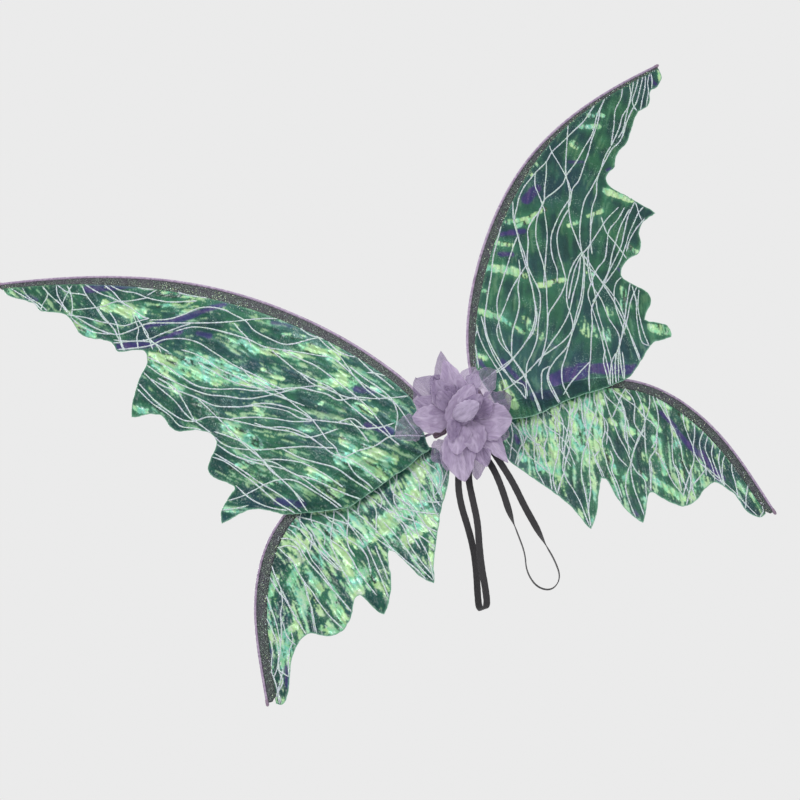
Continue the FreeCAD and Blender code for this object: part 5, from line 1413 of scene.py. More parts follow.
        # each unbroken stretch inside the outline
        cut = np.split(idx, np.where(np.diff(idx) > 1)[0] + 1)
        for piece in cut:
            if len(piece) < 4:
                continue
            p = g[piece]
            ends = []
            for e, dirv in ((p[0], p[0] - p[1]), (p[-1], p[-1] - p[-2])):
                dirv = dirv / (np.linalg.norm(dirv) + 1e-9)
                ext = e + dirv * (np.arange(1, 8)[:, None] * 1.8)
                inn = inside(outline, ext[:, 0], ext[:, 1])
                k = 0
                while k < 7 and inn[k]:
                    k += 1
                ends.append(ext[:k] if k < 7 else ext[:0])
            p = np.concatenate([ends[0][::-1], p, ends[1]])
            off = (rng.random() - 0.5) * 0.16
            zz = lift(p) + off
            L = np.stack([p[:, 0], n0 + zz, p[:, 1]], 1)
            Tn = tangents(L)
            up = np.array([0, 1.0, 0])
            S = np.cross(np.broadcast_to(up, Tn.shape), Tn)
            S /= np.linalg.norm(S, axis=1)[:, None]
            U = np.cross(Tn, S)
            r = np.concatenate([[0], np.cumsum(np.linalg.norm(np.diff(L, axis=0), axis=1))])
            wid = 0.96 * (0.85 + 0.35 * vnoise(r / 9.0, r * 0 + gi * 3.7, seed + 8, 2) + 0.75 * (vnoise(r / 1.7, r * 0 + gi * 1.7, seed + 18, 1) - 0.5))
            end = np.minimum(1, 0.35 + np.minimum(r, r[-1] - r) / 5.0)
            ring = circle(6, 1.0, 0.62)[None] * (wid * end)[:, None, None]
            ba.add(*tube_arrays(L, S, U, ring))
            k = int(r[-1] / 2.1)
            if k > 1:
                at_r = rng.uniform(1.5, max(1.6, r[-1] - 1.5), k)
                spot = np.stack([np.interp(at_r, r, L[:, c]) for c in range(3)], 1)
                sid = np.stack([np.interp(at_r, r, S[:, c]) for c in range(3)], 1)
                flip = rng.choice([-1.0, 1.0], k)
                away = rng.normal(0, 0.62, k)
                spot = spot + sid * away[:, None]
                spot[:, 1] += flip * (0.30 + 0.32 * np.exp(-(away / 0.5) ** 2) + 0.08 * rng.random(k))
                ok2 = inside(outline, spot[:, 0], spot[:, 2])
                grains.append(spot[ok2])
    G3 = np.concatenate(grains)
    ng = len(G3)
    nrm3 = rng.normal(0, 0.32, (ng, 3))
    nrm3[:, 1] += 1.0
    nrm3 /= np.linalg.norm(nrm3, axis=1)[:, None]
    s3 = np.cross(nrm3, [1.0, 0.1, 0.2])
    s3 /= np.linalg.norm(s3, axis=1)[:, None]
    t3 = np.cross(nrm3, s3)
    an3 = np.arange(6) / 6 * 2 * math.pi
    rad3 = rng.uniform(0.34, 0.62, ng)[:, None, None]
    turn = rng.random(ng)[:, None] + an3[None]
    ring3 = G3[:, None, :] + rad3 * (np.cos(turn)[..., None] * s3[:, None, :] + np.sin(turn)[..., None] * t3[:, None, :])
    body3 = np.concatenate([ring3 - nrm3[:, None, :] * 0.06, ring3 + nrm3[:, None, :] * 0.06], 1)
    face3 = []
    for e in range(6):
        face3 += [e, (e + 1) % 6, (e + 1) % 6 + 6, e + 6]
    face3 += list(range(5, -1, -1)) + list(range(6, 12))
    start3 = np.array([0, 4, 8, 12, 16, 20, 24, 30])
    loops3 = (np.array(face3)[None] + 12 * np.arange(ng)[:, None]).ravel()
    starts3 = (start3[None] + 36 * np.arange(ng)[:, None]).ravel()
    speck = link_fast(name + "_thread_glitter", to_world(body3.reshape(-1, 3), left), loops3, starts3, FLAKE, smooth=False)
    V3 = np.concatenate(ba.v)
    strands = link_fast(name + "_glitter_threads", to_world(V3, left), np.concatenate(ba.l), np.concatenate(ba.s), STRAND)

    # mesh hem between spar and film, gathered a little
    u2 = (run > start - 1) & (run < run[-1] - 1.2)
    a0 = line[u2] + N[u2] * 1.0
    a1 = front[u2] + N[u2] * 2.2
    taper = np.clip((run[-1] + 1.5 - run[u2]) / (stop + 2.5), 0.2, 1.0) ** 0.8
    a1 = a0 + (a1 - a0) * taper[:, None]
    rr = run[u2]
    rows = 7
    grid = []
    for k in range(rows):
        t = k / (rows - 1)
        p = a0 * (1 - t) + a1 * t
        puck = 0.55 * math.sin(math.pi * t) * (vnoise(rr / 4.5, rr * 0 + k * 0.6, seed + 9, 2) - 0.5) * 2
        grid.append(np.stack([p[:, 0], n0 + puck - face * 0.0 + (0.30 if face > 0 else -0.30) * t * -1, p[:, 1]], 1))
    grid = np.array(grid)
    m = grid.shape[1]
    V4 = np.concatenate([grid.reshape(-1, 3) - [0, 0.1, 0], grid.reshape(-1, 3) + [0, 0.1, 0]])
    loops, starts = [], []
    nn = rows * m
    for k in range(rows - 1):
        i = np.arange(m - 1) + k * m
        qd = np.stack([i, i + 1, i + 1 + m, i + m], 1)
        loops += [qd, qd[:, ::-1] + nn]
    border = list(range(m)) + [k * m + m - 1 for k in range(1, rows)] + [(rows - 1) * m + j for j in range(m - 2, -1, -1)] \
        + [k * m for k in range(rows - 2, 0, -1)]
    bo = np.array(border)
    bn = np.roll(bo, -1)
    loops.append(np.stack([bn, bo, bo + nn, bn + nn], 1))
    ql = np.concatenate(loops)
    if left:
        ql = ql[:, ::-1]
    hem = link_fast(name + "_mesh_hem", to_world(V4, left), ql.ravel(), np.arange(0, ql.size, 4), HEM_MAT)

    # loose glitter caught along the hem and the film's front edge
    bf = Batch()
    count = int(run[-1] * (0.75 if level == "upper" else 0.7))
    dens = vnoise(np.arange(400) / 14.0, np.zeros(400), seed + 10, 2)
    if name == "upper_left":
        x = np.linspace(0, 1, 400)
        dens = dens * (0.35 + 1.3 * np.exp(-((x - 0.52) / 0.17) ** 2))
    cdf = np.cumsum(dens ** 1.5)
    cdf /= cdf[-1]
    for i in range(count):
        f = np.interp(rng.random(), cdf, np.linspace(0, 1, 400))
        rn = start + f * (run[-1] - stop - start)
        j = int(np.searchsorted(run, rn))
        j = min(max(j, 1), len(run) - 1)
        w = width[j]
        across = w + rng.normal(-0.16 * w, 0.26 * w)
        across = min(max(across, 2.4), w + 5.0)
        p = line[j] + N[j] * across + T[j] * rng.uniform(-1.5, 1.5)
        zz = float(lift(p[None])[0]) if across > w + 1 else 0.0
        r = rng.uniform(0.35, 0.85)
        n = rng.normal(0, 0.35, 3)
        n[1] += 1.0
        n /= np.linalg.norm(n)
        s = np.cross(n, [1.0, 0.1, 0.2])
        s /= np.linalg.norm(s)
        t = np.cross(n, s)
        c0 = np.array([p[0], n0 + zz + rng.choice([-1, 1]) * (0.35 + rng.random() * 0.25), p[1]])
        k = int(rng.integers(5, 7))
        an = np.arange(k) / k * 2 * math.pi + rng.random()
        ringp = c0 + r * (np.cos(an)[:, None] * s + np.sin(an)[:, None] * t * rng.uniform(0.6, 1.0))
        v8 = np.concatenate([ringp - n * 0.06, ringp + n * 0.06])
        lp, stt = [], []
        for e in range(k):
            stt.append(len(lp))
            lp += [e, (e + 1) % k, (e + 1) % k + k, e + k]
        stt.append(len(lp)); lp += list(range(k - 1, -1, -1))
        stt.append(len(lp)); lp += list(range(k, 2 * k))
        bf.add(v8, lp, stt)
    V5 = np.concatenate(bf.v)
    flakes = link_fast(name + "_glitter_flakes", to_world(V5, left), np.concatenate(bf.l), np.concatenate(bf.s), FLAKE, smooth=False)

    # lilac tube on the spar, with the wound tape's shallow spiral
    sl = quad_line(SPAR[name], 1.1)
    L = np.stack([sl[:, 0], np.full(len(sl), n0), sl[:, 1]], 1)
    r = np.concatenate([[0], np.cumsum(np.linalg.norm(np.diff(L, axis=0), axis=1))])
    keep = (r > 4.5) & (r < r[-1] - 6.5)
    L, r = L[keep], r[keep]
    Tn = tangents(L)
    U = np.broadcast_to(np.array([0, 1.0, 0]), Tn.shape)
    S = np.cross(U, Tn)
    an = np.arange(14) / 14 * 2 * math.pi
    ph = (r[:, None] / 6.0 * 2 * math.pi + an[None]) % (2 * math.pi) / (2 * math.pi)
    rad = 1.53 + 0.14 * ph + 0.05 * vnoise(r[:, None] / 3.0 + an[None], r[:, None] * 0 + an[None] * 2, seed + 11, 1)
    ring = np.stack([np.cos(an)[None] * rad, np.sin(an)[None] * rad], -1)
    Vt, lt, stt = tube_arrays(L, S, U, ring)
    spar = link_fast(name + "_wound_tube", to_world(Vt, left), lt, stt, SPAR_MAT)

    # bound tip
    tip = quad_line(SPAR[name], 0.5)
    L = np.stack([tip[:, 0], np.full(len(tip), n0), tip[:, 1]], 1)
    r = np.concatenate([[0], np.cumsum(np.linalg.norm(np.diff(L, axis=0), axis=1))])
    keep = r > r[-1] - 8.0
    L, r = L[keep], r[keep] - (r[-1] - 8.0)
    L = np.concatenate([L, L[-1:] + tangents(L)[-1:] * 0.5, L[-1:] + tangents(L)[-1:] * 0.9])
    r = np.concatenate([r, [r[-1] + 0.5, r[-1] + 0.9]])
    Tn = tangents(L)
    U = np.broadcast_to(np.array([0, 1.0, 0]), Tn.shape)
    S = np.cross(U, Tn)
    body = np.interp(r, [0, 0.6, 2.5, 6.5, 8.2, 9.0], [1.7, 2.0, 2.15, 2.1, 1.5, 0.35])
    rad = body[:, None] * (1 + 0.06 * np.sin(r[:, None] / 0.9 * 2 * math.pi + an[None]))
    ring = np.stack([np.cos(an)[None] * rad, np.sin(an)[None] * rad], -1)
    Vt, lt, stt = tube_arrays(L, S, U, ring)
    capp = link_fast(name + "_bound_tip", to_world(Vt, left), lt, stt, TIPWRAP)

    # bead of melted film along the cut edge
    be = edge[::1]
    zz = lift(be)
    L = np.stack([be[:, 0], n0 + zz, be[:, 1]], 1)
    Tn = tangents(L)
    S = np.cross(np.broadcast_to(np.array([0, 1.0, 0]), Tn.shape), Tn)
    S /= np.maximum(np.linalg.norm(S, axis=1), 1e-6)[:, None]
    U = np.cross(Tn, S)
    r = np.arange(len(L))
    wid = 0.42 * (0.6 + 0.9 * vnoise(r / 4.0, r * 0.0, seed + 12, 2))
    ring = circle(6, 1.0, 0.8)[None] * wid[:, None, None]
    Vt, lt, stt = tube_arrays(L, S, U, ring)
    bead = link_fast(name + "_sealed_edge", to_world(Vt, left), lt, stt, BEAD)

    wing_body = name + "_wing"
    for ob, nodes, slot_name in ((film, [name + "_film"], "iridescent_film"), (strands, [], "glitter_mesh"),
                                 (hem, [name + "_hem"], "glitter_mesh"), (flakes, [], "glitter_mesh"), (speck, [], "glitter_mesh"),
                                 (spar, [name + "_spar_cover"], "spar_tube"), (capp, [name + "_tip_cap"], "tip_wrap"),
                                 (bead, [], "iridescent_film")):
        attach(ob, wing_body)
        if nodes:
            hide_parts(*nodes)
    bb = Vp.max(0) - Vp.min(0)


def hidden_threads(name, rng):
    """Threads in the part of a lower film that lies behind the upper one."""
    out = []
    line = quad_line(SPAR[name], 3.0)
    for i in range(13):
        a = line[int((0.05 + 0.38 * i / 12) * len(line))] + [0, -12]
        slope = rng.uniform(-0.25, 0.25)
        n = 7
        L = rng.uniform(50, 110)
        p = [(a[0] + slope * L * k / n + 5 * math.sin(k * 1.3 + i), a[1] - L * k / n) for k in range(n)]
        out.append(through(p, 2.2))
    return out


BEAD = simple_material("sealed_film_edge", (96, 150, 126), (168, 206, 184), 0.3, 0.0, 260.0)
for i, nm in enumerate(("upper_left", "upper_right", "lower_right", "lower_left")):
    build_wing(nm, 100 + 37 * i)

# ---------------------------------------------------------------- flower
ELASTIC_FOLD = simple_material("elastic_fold", (22, 21, 23), (52, 50, 54), 0.8, 0.0, 900.0, 0.0004)
CHIFFON_A2 = chiffon_material("chiffon_inner", 0.44, (140, 122, 156), (198, 182, 210))
CHIFFON_B2 = chiffon_material("chiffon_pale", 0.60, (142, 130, 156), (198, 188, 210))
CHIFFON_AB = chiffon_material("chiffon_bud", 0.22, (182, 166, 196), (222, 210, 232))
CHIFFONS = {"A": CHIFFON_A, "A2": CHIFFON_A2, "B": CHIFFON_B, "B2": CHIFFON_B2, "C": CHIFFON_C, "AB": CHIFFON_AB}
# Petals: base, tip (mm, row frame), half width, arch, cup, ripple, how pointed, cloth, layer
PETALS = [
 ((2.2, -12.5, -3.0), (8.4, -13.5, 77.2), 15.0, 2.0, 1.0, 1.2, 0.85, "C", "outer"),
 ((0.6, -12.5, -3.4), (-32.3, -14.5, 56.7), 22.8, 3.0, 1.0, 2.6, 0.25, "C", "outer"),
 ((1.2, -12.1, -3.1), (-14.5, -13.2, 52.7), 16.2, 2.0, 1.0, 2.2, 0.35, "B", "outer"),
 ((-39.5, -13.0, 0.1), (-82.5, -14.5, -1.8), 17.4, 1.0, 1.0, 1.2, 0.80, "B", "outer"),
 ((5.0, -12.5, -6.0), (65.1, -14.0, -5.7), 19.2, 3.0, 1.0, 1.8, 0.35, "C", "outer"),
 ((4.1, -12.8, -8.2), (44.0, -14.5, -50.5), 18.0, 2.0, 1.0, 1.5, 0.40, "C", "outer"),
 ((-15.3, -12.3, -29.1), (-52.5, -13.5, -44.9), 16.2, 2.0, 1.0, 1.8, 0.45, "C", "outer"),
 ((1.5, -12.6, -9.0), (-11.7, -14.0, -86.0), 15.0, 2.0, 1.0, 1.4, 0.60, "C", "outer"),
 ((4.5, -13.5, -4.4), (59.2, -17.0, 30.5), 18.0, 3.5, 1.0, 2.0, 0.30, "B", "outer"),
 ((2.2, -16.5, -3.0), (5.6, -19.5, 64.3), 16.2, 3.0, 1.6, 1.0, 0.90, "A", "middle"),
 ((1.1, -17.0, -3.1), (-13.0, -22.0, 44.1), 16.8, 4.0, 1.6, 1.4, 0.50, "A2", "middle"),
 ((-0.3, -16.0, -4.1), (-43.6, -19.0, 31.8), 17.4, 3.0, 1.2, 1.6, 0.40, "A2", "middle"),
 ((-0.9, -16.5, -5.1), (-55.3, -21.0, 12.1), 18.0, 4.0, 1.6, 1.2, 0.35, "A", "middle"),
 ((3.9, -16.0, -3.6), (38.7, -19.0, 40.6), 16.2, 4.0, 1.0, 1.6, 0.25, "B2", "middle"),
 ((4.7, -17.0, -7.4), (54.4, -23.0, -33.2), 24.0, 4.5, 1.8, 1.0, 0.30, "A", "middle"),
 ((3.0, -16.0, -8.8), (29.6, -19.0, -81.4), 13.8, 3.0, 1.6, 1.0, 1.00, "A", "middle"),
 ((2.1, -16.6, -9.0), (4.5, -20.0, -76.9), 16.2, 3.0, 1.6, 1.2, 0.60, "A2", "middle"),
 ((1.0, -17.5, -8.8), (-26.9, -23.0, -84.7), 21.0, 4.5, 1.8, 1.0, 0.55, "A", "middle"),
 ((-11.7, -16.2, -26.3), (-41.2, -19.5, -63.9), 12.6, 3.0, 1.6, 1.2, 0.60, "B2", "middle"),
 ((0.7, -20.5, -3.3), (-14.2, -26.0, 28.8), 12.6, 4.0, 2.0, 0.8, 0.40, "A2", "heart"),
 ((1.8, -20.5, -9.0), (-0.9, -26.5, -58.2), 16.2, 4.0, 2.0, 0.9, 0.50, "A", "heart"),
 ((0.5, -21.5, -8.6), (-24.0, -28.0, -52.0), 15.0, 4.0, 2.0, 1.0, 0.50, "A", "heart"),
 ((5.0, -20.0, -6.1), (40.5, -26.0, -7.4), 14.4, 3.5, 2.0, 0.8, 0.40, "A2", "heart"),
 ((-17.4, -24.0, -14.3), (25.3, -33.0, 19.1), 15.0, 5.0, 3.5, 0.5, 0.30, "A", "bud"),
 ((-9.4, -25.5, -16.6), (29.4, -36.0, 4.6), 12.0, 5.0, 4.0, 0.4, 0.30, "A2", "bud"),
 ((-10.6, -30.0, -9.5), (22.5, -40.0, -5.6), 12.0, 4.0, 5.0, 0.3, 0.20, "AB", "bud"),
 ((-5.7, -25.0, -7.4), (-23.8, -30.0, -35.7), 8.4, 3.0, 2.5, 0.8, 0.50, "A2", "bud"),
]
FLOWER_MID = np.array([2.0, -20.0, -6.0])


def petal(spec, seed):
    """One curved, rippled petal as a closed thin sheet: vertices, faces, cut size and rim value."""
    base, tip, W, arch, cup, ripple, pointed, cloth, layer = spec
    B, Tp = np.array(base, float), np.array(tip, float)
    rng = np.random.default_rng(seed)
    nu, nvv = 30, 23
    u = np.linspace(0, 1, nu)
    v = np.linspace(-1, 1, nvv)
    mid = 0.5 * (B + Tp) + np.array([0, -arch * 1.3, 0])
    side0 = np.cross(Tp - B, [0, 1.0, 0])
    side0 /= np.linalg.norm(side0)
    mid = mid + side0 * rng.choice([-1, 1]) * rng.uniform(0.05, 0.13) * np.linalg.norm(Tp - B) * (0.4 if layer == "bud" else 1.0)
    cen = (1 - u)[:, None] ** 2 * B + 2 * (u * (1 - u))[:, None] * mid + (u ** 2)[:, None] * Tp
    T = tangents(cen)
    S = np.cross(T, [0, 1.0, 0])
    S /= np.linalg.norm(S, axis=1)[:, None]
    U = np.cross(S, T)
    U *= np.sign(-U[:, 1:2])           # towards the viewer's side, -Y
    if layer == "bud":
        prof = np.sin(math.pi * np.clip(u, 0.0, 1) ** 0.8) ** 0.55
        prof = np.maximum(prof, 0.02)
    else:
        rnd = np.minimum(1, (u / 0.60) ** 0.7) * np.clip(1 - np.clip((u - 0.60) / 0.40, 0, 1) ** 2.0, 0.0, 1) ** 0.62
        pnt = np.sin(math.pi * np.clip(u ** 0.85, 0, 1)) ** 0.9 * (1 - 0.25 * u)
        pnt = pnt / pnt.max()
        prof = rnd * (1 - pointed) + pnt * pointed
        prof = prof * (0.22 + 0.78 * step01(0, 0.5, u)) + 0.10 * (1 - u)
    w = W * prof
    ph, ph2 = rng.uniform(0, 6.28, 2)
    fr = rng.uniform(1.3, 2.2)
    uu, vv = np.meshgrid(u, v, indexing="ij")
    wave = ripple * (np.sin(uu * fr * 6.28 + ph + vv * 1.2) * np.abs(vv) ** 1.5
                     + 0.5 * np.sin(uu * fr * 12.9 + ph2) * np.abs(vv) ** 3) * step01(0.1, 0.6, uu)
    fold = 0.35 * vnoise(uu * 9 + seed, vv * 2.2 + seed * 0.7, 300 + seed, 2) * 2.0
    crease = -0.55 * np.exp(-(vv / 0.11) ** 2) * step01(0.05, 0.3, uu) * step01(1.0, 0.75, uu) * (0 if layer == "bud" else 1)
    pleat = 0.35 * np.cos(vv * math.pi * 3.0) * (1 - step01(0.15, 0.6, uu))
    wrink = 0.16 * np.cos(vv * math.pi * 7 + ph2 + uu * 2.0) * (1 - 0.7 * uu) + 0.22 * (vnoise(vv * 7 + seed, uu * 3.0, 350 + seed, 2) - 0.5)
    h = (0.45 if layer != "bud" else 0.62) * cup * (1 - vv ** 2) * np.minimum(1, prof[:, None] * 1.3) + 1.25 * wave + fold + crease + pleat + wrink
    if layer == "bud":
        h = h + 1.2 * np.sin(uu * math.pi) * 0
    lop = rng.uniform(0.06, 0.16) * rng.choice([-1, 1])
    wig = 1 + lop * np.sign(vv) * np.sin(math.pi * uu) + 0.07 * np.sin(uu * 19 + ph) * (np.abs(vv) > 0.85) * np.sign(vv) * ripple * 0.5 + 0.04 * np.sin(uu * 41 + ph2) * (np.abs(vv) > 0.94)
    P = cen[:, None, :] + S[:, None, :] * (vv * w[:, None] * wig)[..., None] + U[:, None, :] * h[..., None]
    Pf = P.reshape(-1, 3)
    # normals for thickness
    du = np.gradient(P, axis=0)
    dv = np.gradient(P, axis=1)
    nn = np.cross(du.reshape(-1, 3), dv.reshape(-1, 3))
    nn /= np.maximum(np.linalg.norm(nn, axis=1), 1e-9)[:, None]
    A, Bk = Pf + nn * 0.13, Pf - nn * 0.13
    V = np.concatenate([A, Bk])
    N = len(Pf)
    i, j = np.meshgrid(np.arange(nu - 1), np.arange(nvv - 1), indexing="ij")
    a = (i * nvv + j).ravel()
    q1 = np.stack([a, a + nvv, a + nvv + 1, a + 1], 1)
    q2 = q1[:, ::-1] + N
    border = [k * nvv for k in range(nu)] + [(nu - 1) * nvv + k for k in range(1, nvv)] \
        + [k * nvv + nvv - 1 for k in range(nu - 2, -1, -1)] + [k for k in range(nvv - 2, 0, -1)]
    bo = np.array(border)
    bn = np.roll(bo, -1)
    q3 = np.stack([bn, bo, bo + N, bn + N], 1)
    q = np.concatenate([q1, q2, q3])
    L = np.linalg.norm(np.diff(cen, axis=0), axis=1).sum()
    cut = np.stack([uu.ravel() * L / 100, (vv * w[:, None]).ravel() / 100], 1)
    rimv = np.maximum(step01(0.90, 1.0, np.abs(vv)), step01(0.96, 1.0, uu)).ravel()
    e1 = np.linalg.norm(np.cross(P[1:, :-1] - P[:-1, :-1], P[:-1, 1:] - P[:-1, :-1]), axis=-1).sum()
    return V, q, np.concatenate([cut, cut]), np.concatenate([rimv, rimv]), e1, (L, 2 * w.max())


def flower_layer(layer, name, replaces_node):
    specs = [s for s in PETALS if s[8] == layer]
    vs, qs, cuts, rims, mats, soft, nv = [], [], [], [], [], [], 0
    area, sizes = 0.0, []
    cloths = sorted(set(s[7] for s in specs))
    for k, s in enumerate(specs):
        V, q, cut, rim, a, sz = petal(s, 11 * k + len(layer))
        vs.append(V)
        qs.append(q + nv)
        cuts.append(cut)
        rims.append(rim)
        mats += [cloths.index(s[7])] * len(q)
        flags = np.ones(len(q), bool)
        flags[2 * 29 * 22:] = False
        soft.append(flags)
        nv += len(V)
        area += a
        sizes.append(sz)
    V = np.concatenate(vs)
    q = np.concatenate(qs)
    ob = link_fast(name, V * MM, q.ravel(), np.arange(0, q.size, 4), None)
    ob.data.polygons.foreach_set("use_smooth", np.concatenate(soft))
    for c in cloths:
        ob.data.materials.append(CHIFFONS[c])
    ob.data.polygons.foreach_set("material_index", np.array(mats, np.int32))
    vi = np.zeros(len(ob.data.loops), np.int32)
    ob.data.loops.foreach_get("vertex_index", vi)
    uv = ob.data.uv_layers.new(name="cut")
    uv.data.foreach_set("uv", np.concatenate(cuts)[vi].astype(np.float32).ravel())
    at = ob.data.attributes.new("edge", "FLOAT", "POINT")
    at.data.foreach_set("value", np.concatenate(rims).astype(np.float32))
    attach(ob, "hub")
    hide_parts(replaces_node)
    return ob


def gathered_core():
    """The petals' feet, gathered on a thread: a pleated stem from the felt disc up to the bud."""
    ys = np.array([-9.7, -10.4, -11.6, -13.2, -14.6, -16.4, -18.2, -20.2, -22.4, -24.8, -27.2, -29.0, -29.6])
    rs = np.array([7.6, 8.6, 8.3, 7.6, 6.9, 7.3, 6.4, 6.7, 5.8, 5.2, 4.6, 3.6, 2.2])
    yy = np.linspace(ys[0], ys[-1], 40)
    rr = np.interp(yy, ys, rs)
    m = 96
    a = np.arange(m) / m * 2 * math.pi
    A, Y = np.meshgrid(a, yy)
    pleats = 1 + 0.055 * np.sin(A * 17 + 0.5 * np.sin(Y * 0.9)) + 0.03 * np.sin(A * 29 + Y * 0.7) \
        + 0.05 * (vnoise(np.cos(A) * 2.5 + Y / 3.0, np.sin(A) * 2.5, 77, 2) - 0.5)
    R = rr[:, None] * pleats
    lean = (yy - yy[0])[:, None] * 0.10
    L = np.stack([FLOWER_MID[0] + R * np.cos(A) + lean * 0.4, Y, FLOWER_MID[2] + R * np.sin(A) - lean * 0.3], -1)
    V = L.reshape(-1, 3)
    k = len(yy)
    i, j = np.meshgrid(np.arange(k - 1), np.arange(m), indexing="ij")
    q = np.stack([i * m + j, i * m + (j + 1) % m, (i + 1) * m + (j + 1) % m, (i + 1) * m + j], -1).reshape(-1, 4)
    loops = np.concatenate([q.ravel(), np.arange(m - 1, -1, -1), (k - 1) * m + np.arange(m)])
    starts = np.concatenate([np.arange(0, q.size, 4), [q.size, q.size + m]])
    ob = link_fast("petals_gathered_core", V * MM, loops, starts, CORE_MAT)
    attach(ob, "hub")
    return ob


CORE_MAT = cloth_material("gathered_chiffon", (120, 102, 136), (160, 142, 174), (196, 180, 208), 700.0, 0.2, 0.7, 0.0004)
core = gathered_core()
flower_layer("outer", "petals_outer", "petals_back")
flower_layer("middle", "petals_middle", "petals_front")
flower_layer("heart", "petals_heart", "petals_inner")
flower_layer("bud", "petals_bud", "flower_bud")


# ---------------------------------------------------------------- hub pads and root tabs
def pad_outline(grow=0.0):
    h, b, t, f = 17.0 + grow, 25.5 + grow, 34.0 + grow, -34.0 - grow
    return [(-h + 7, t), (h - 7, t), (h - 2, t - 2), (h, t - 7), (h, -20.0), (b - 1.5, -26.5), (b, -29.0),
            (b, f + 2.5), (b - 2.5, f), (-b + 2.5, f), (-b, f + 2.5), (-b, -29.0), (-b + 1.5, -26.5),
            (-h, -20.0), (-h, t - 7), (-h + 2, t - 2)]


def resample(P, step):
    P = np.array(P, float)
    out = []
    for a, b in zip(P, np.roll(P, -1, axis=0)):
        n = max(1, int(round(np.linalg.norm(b - a) / step)))
        out.append(a + (b - a) * (np.arange(n) / n)[:, None])
    Q = np.concatenate(out)
    for _ in range(3):
        Q = 0.25 * np.roll(Q, 1, axis=0) + 0.5 * Q + 0.25 * np.roll(Q, -1, axis=0)
    return Q


def puffed(name, poly, y0, y1, mat, puff_front=0.0, puff_back=0.0, seam=2.6, place=None, seed=5, step=1.3):
    """Felt plate with rolled edges, a soft face and a stitched channel; returns the object."""
    P = resample(poly, step)
    lo, hi = P.min(0), P.max(0)
    gx, gy = np.meshgrid(np.arange(lo[0], hi[0], step), np.arange(lo[1], hi[1], step))
    q = np.stack([gx.ravel(), gy.ravel()], 1)
    q = q[inside(P, q[:, 0], q[:, 1])]
    from mathutils.kdtree import KDTree
    kd = KDTree(len(P))
    for i, p in enumerate(P):
        kd.insert((p[0], p[1], 0), i)
    kd.balance()
    d = np.array([kd.find((p[0], p[1], 0))[2] for p in q])
    q = q[d > step * 0.7]
    pts = np.concatenate([P, q])
    n = len(P)
    vs, es, fs = delaunay_2d_cdt([Vector(p) for p in pts], [(i, (i + 1) % n) for i in range(n)], [], 1, 1e-5)[:3]
    V = np.array([(p.x, p.y) for p in vs])
    tri = np.array([f for f in fs if len(f) == 3], int)
    a2 = ((V[tri[:, 1]] - V[tri[:, 0]])[:, 0] * (V[tri[:, 2]] - V[tri[:, 0]])[:, 1]
          - (V[tri[:, 1]] - V[tri[:, 0]])[:, 1] * (V[tri[:, 2]] - V[tri[:, 0]])[:, 0])
    tri[a2 < 0] = tri[a2 < 0][:, ::-1]
    dd = np.array([kd.find((p[0], p[1], 0))[2] for p in V])
    ym, th = 0.5 * (y0 + y1), 0.5 * abs(y1 - y0)
    edge_t = 0.42 + 0.58 * np.sqrt(np.clip(1 - (1 - np.clip(dd / 1.6, 0, 1)) ** 2, 0, 1))
    groove = 0.32 * np.exp(-((dd - seam) / 0.55) ** 2)
    nz = (vnoise(V[:, 0] / 3.1, V[:, 1] / 3.1, seed, 3) - 0.5) * 0.35
    f_h = th * edge_t - groove + nz * step01(0, 2, dd) + puff_front * step01(1.5, 9, dd)
    b_h = th * edge_t - groove + nz * step01(0, 2, dd) * 0.8 + puff_back * step01(1.5, 9, dd)
    A = np.stack([V[:, 0], ym - np.minimum(f_h, th + puff_front), V[:, 1]], 1)
    B = np.stack([V[:, 0], ym + np.minimum(b_h, th + puff_back), V[:, 1]], 1)
    N = len(V)
    ek = {}
    for t in tri:
        for a, b in ((t[0], t[1]), (t[1], t[2]), (t[2], t[0])):
            if (b, a) in ek:
                del ek[(b, a)]
            else:
                ek[(a, b)] = 1
    rim = np.array(list(ek), int)
    allv = np.concatenate([A, B])
    loops = np.concatenate([tri.ravel(), (tri[:, ::-1] + N).ravel()])
    starts = np.arange(0, len(loops), 3)
    sq = np.stack([rim[:, 1], rim[:, 0], rim[:, 0] + N, rim[:, 1] + N], 1)
    starts = np.concatenate([starts, len(loops) + np.arange(0, sq.size, 4)])
    loops = np.concatenate([loops, sq.ravel()])
    W = allv * MM if place is None else place(allv)
    ob = link_fast(name, W, loops, starts, mat)
    return ob


def stitch_run(ba, path, y_of, pitch, length, r=0.28, face=-1.0):
    """Running stitches along a closed line: short arched threads that dip at both ends."""
    P = np.array(path, float)
    seg = np.linalg.norm(np.roll(P, -1, axis=0) - P, axis=1)
    run = np.concatenate([[0], np.cumsum(seg)])
    Q = np.concatenate([P, P[:1]])
    total = run[-1]
    k = int(total / pitch)
    for i in range(k):
        s = np.linspace(i * total / k, i * total / k + length, 6)
        x = np.interp(s % total, run, Q[:, 0])
        z = np.interp(s % total, run, Q[:, 1])
        t = np.linspace(0, 1, 6)
        y = y_of + face * (0.30 * np.sin(math.pi * t) - 0.12)
        L = np.stack([x, y, z], 1)
        Tn = tangents(L)
        U = np.cross(Tn, np.cross([0, 1.0, 0], Tn))
        U /= np.linalg.norm(U, axis=1)[:, None]
        S = np.cross(U, Tn)
        ba.add(*tube_arrays(L, S, U, circle(6, r)))


def inset(poly, d):
    P = resample(poly, 1.0)
    T = np.roll(P, -1, axis=0) - np.roll(P, 1, axis=0)
    T /= np.linalg.norm(T, axis=1)[:, None]
    n = np.stack([T[:, 1], -T[:, 0]], 1)
    c = P.mean(0)
    sgn = np.sign((n * (c - P)).sum(1).mean())
    return P + n * sgn * d


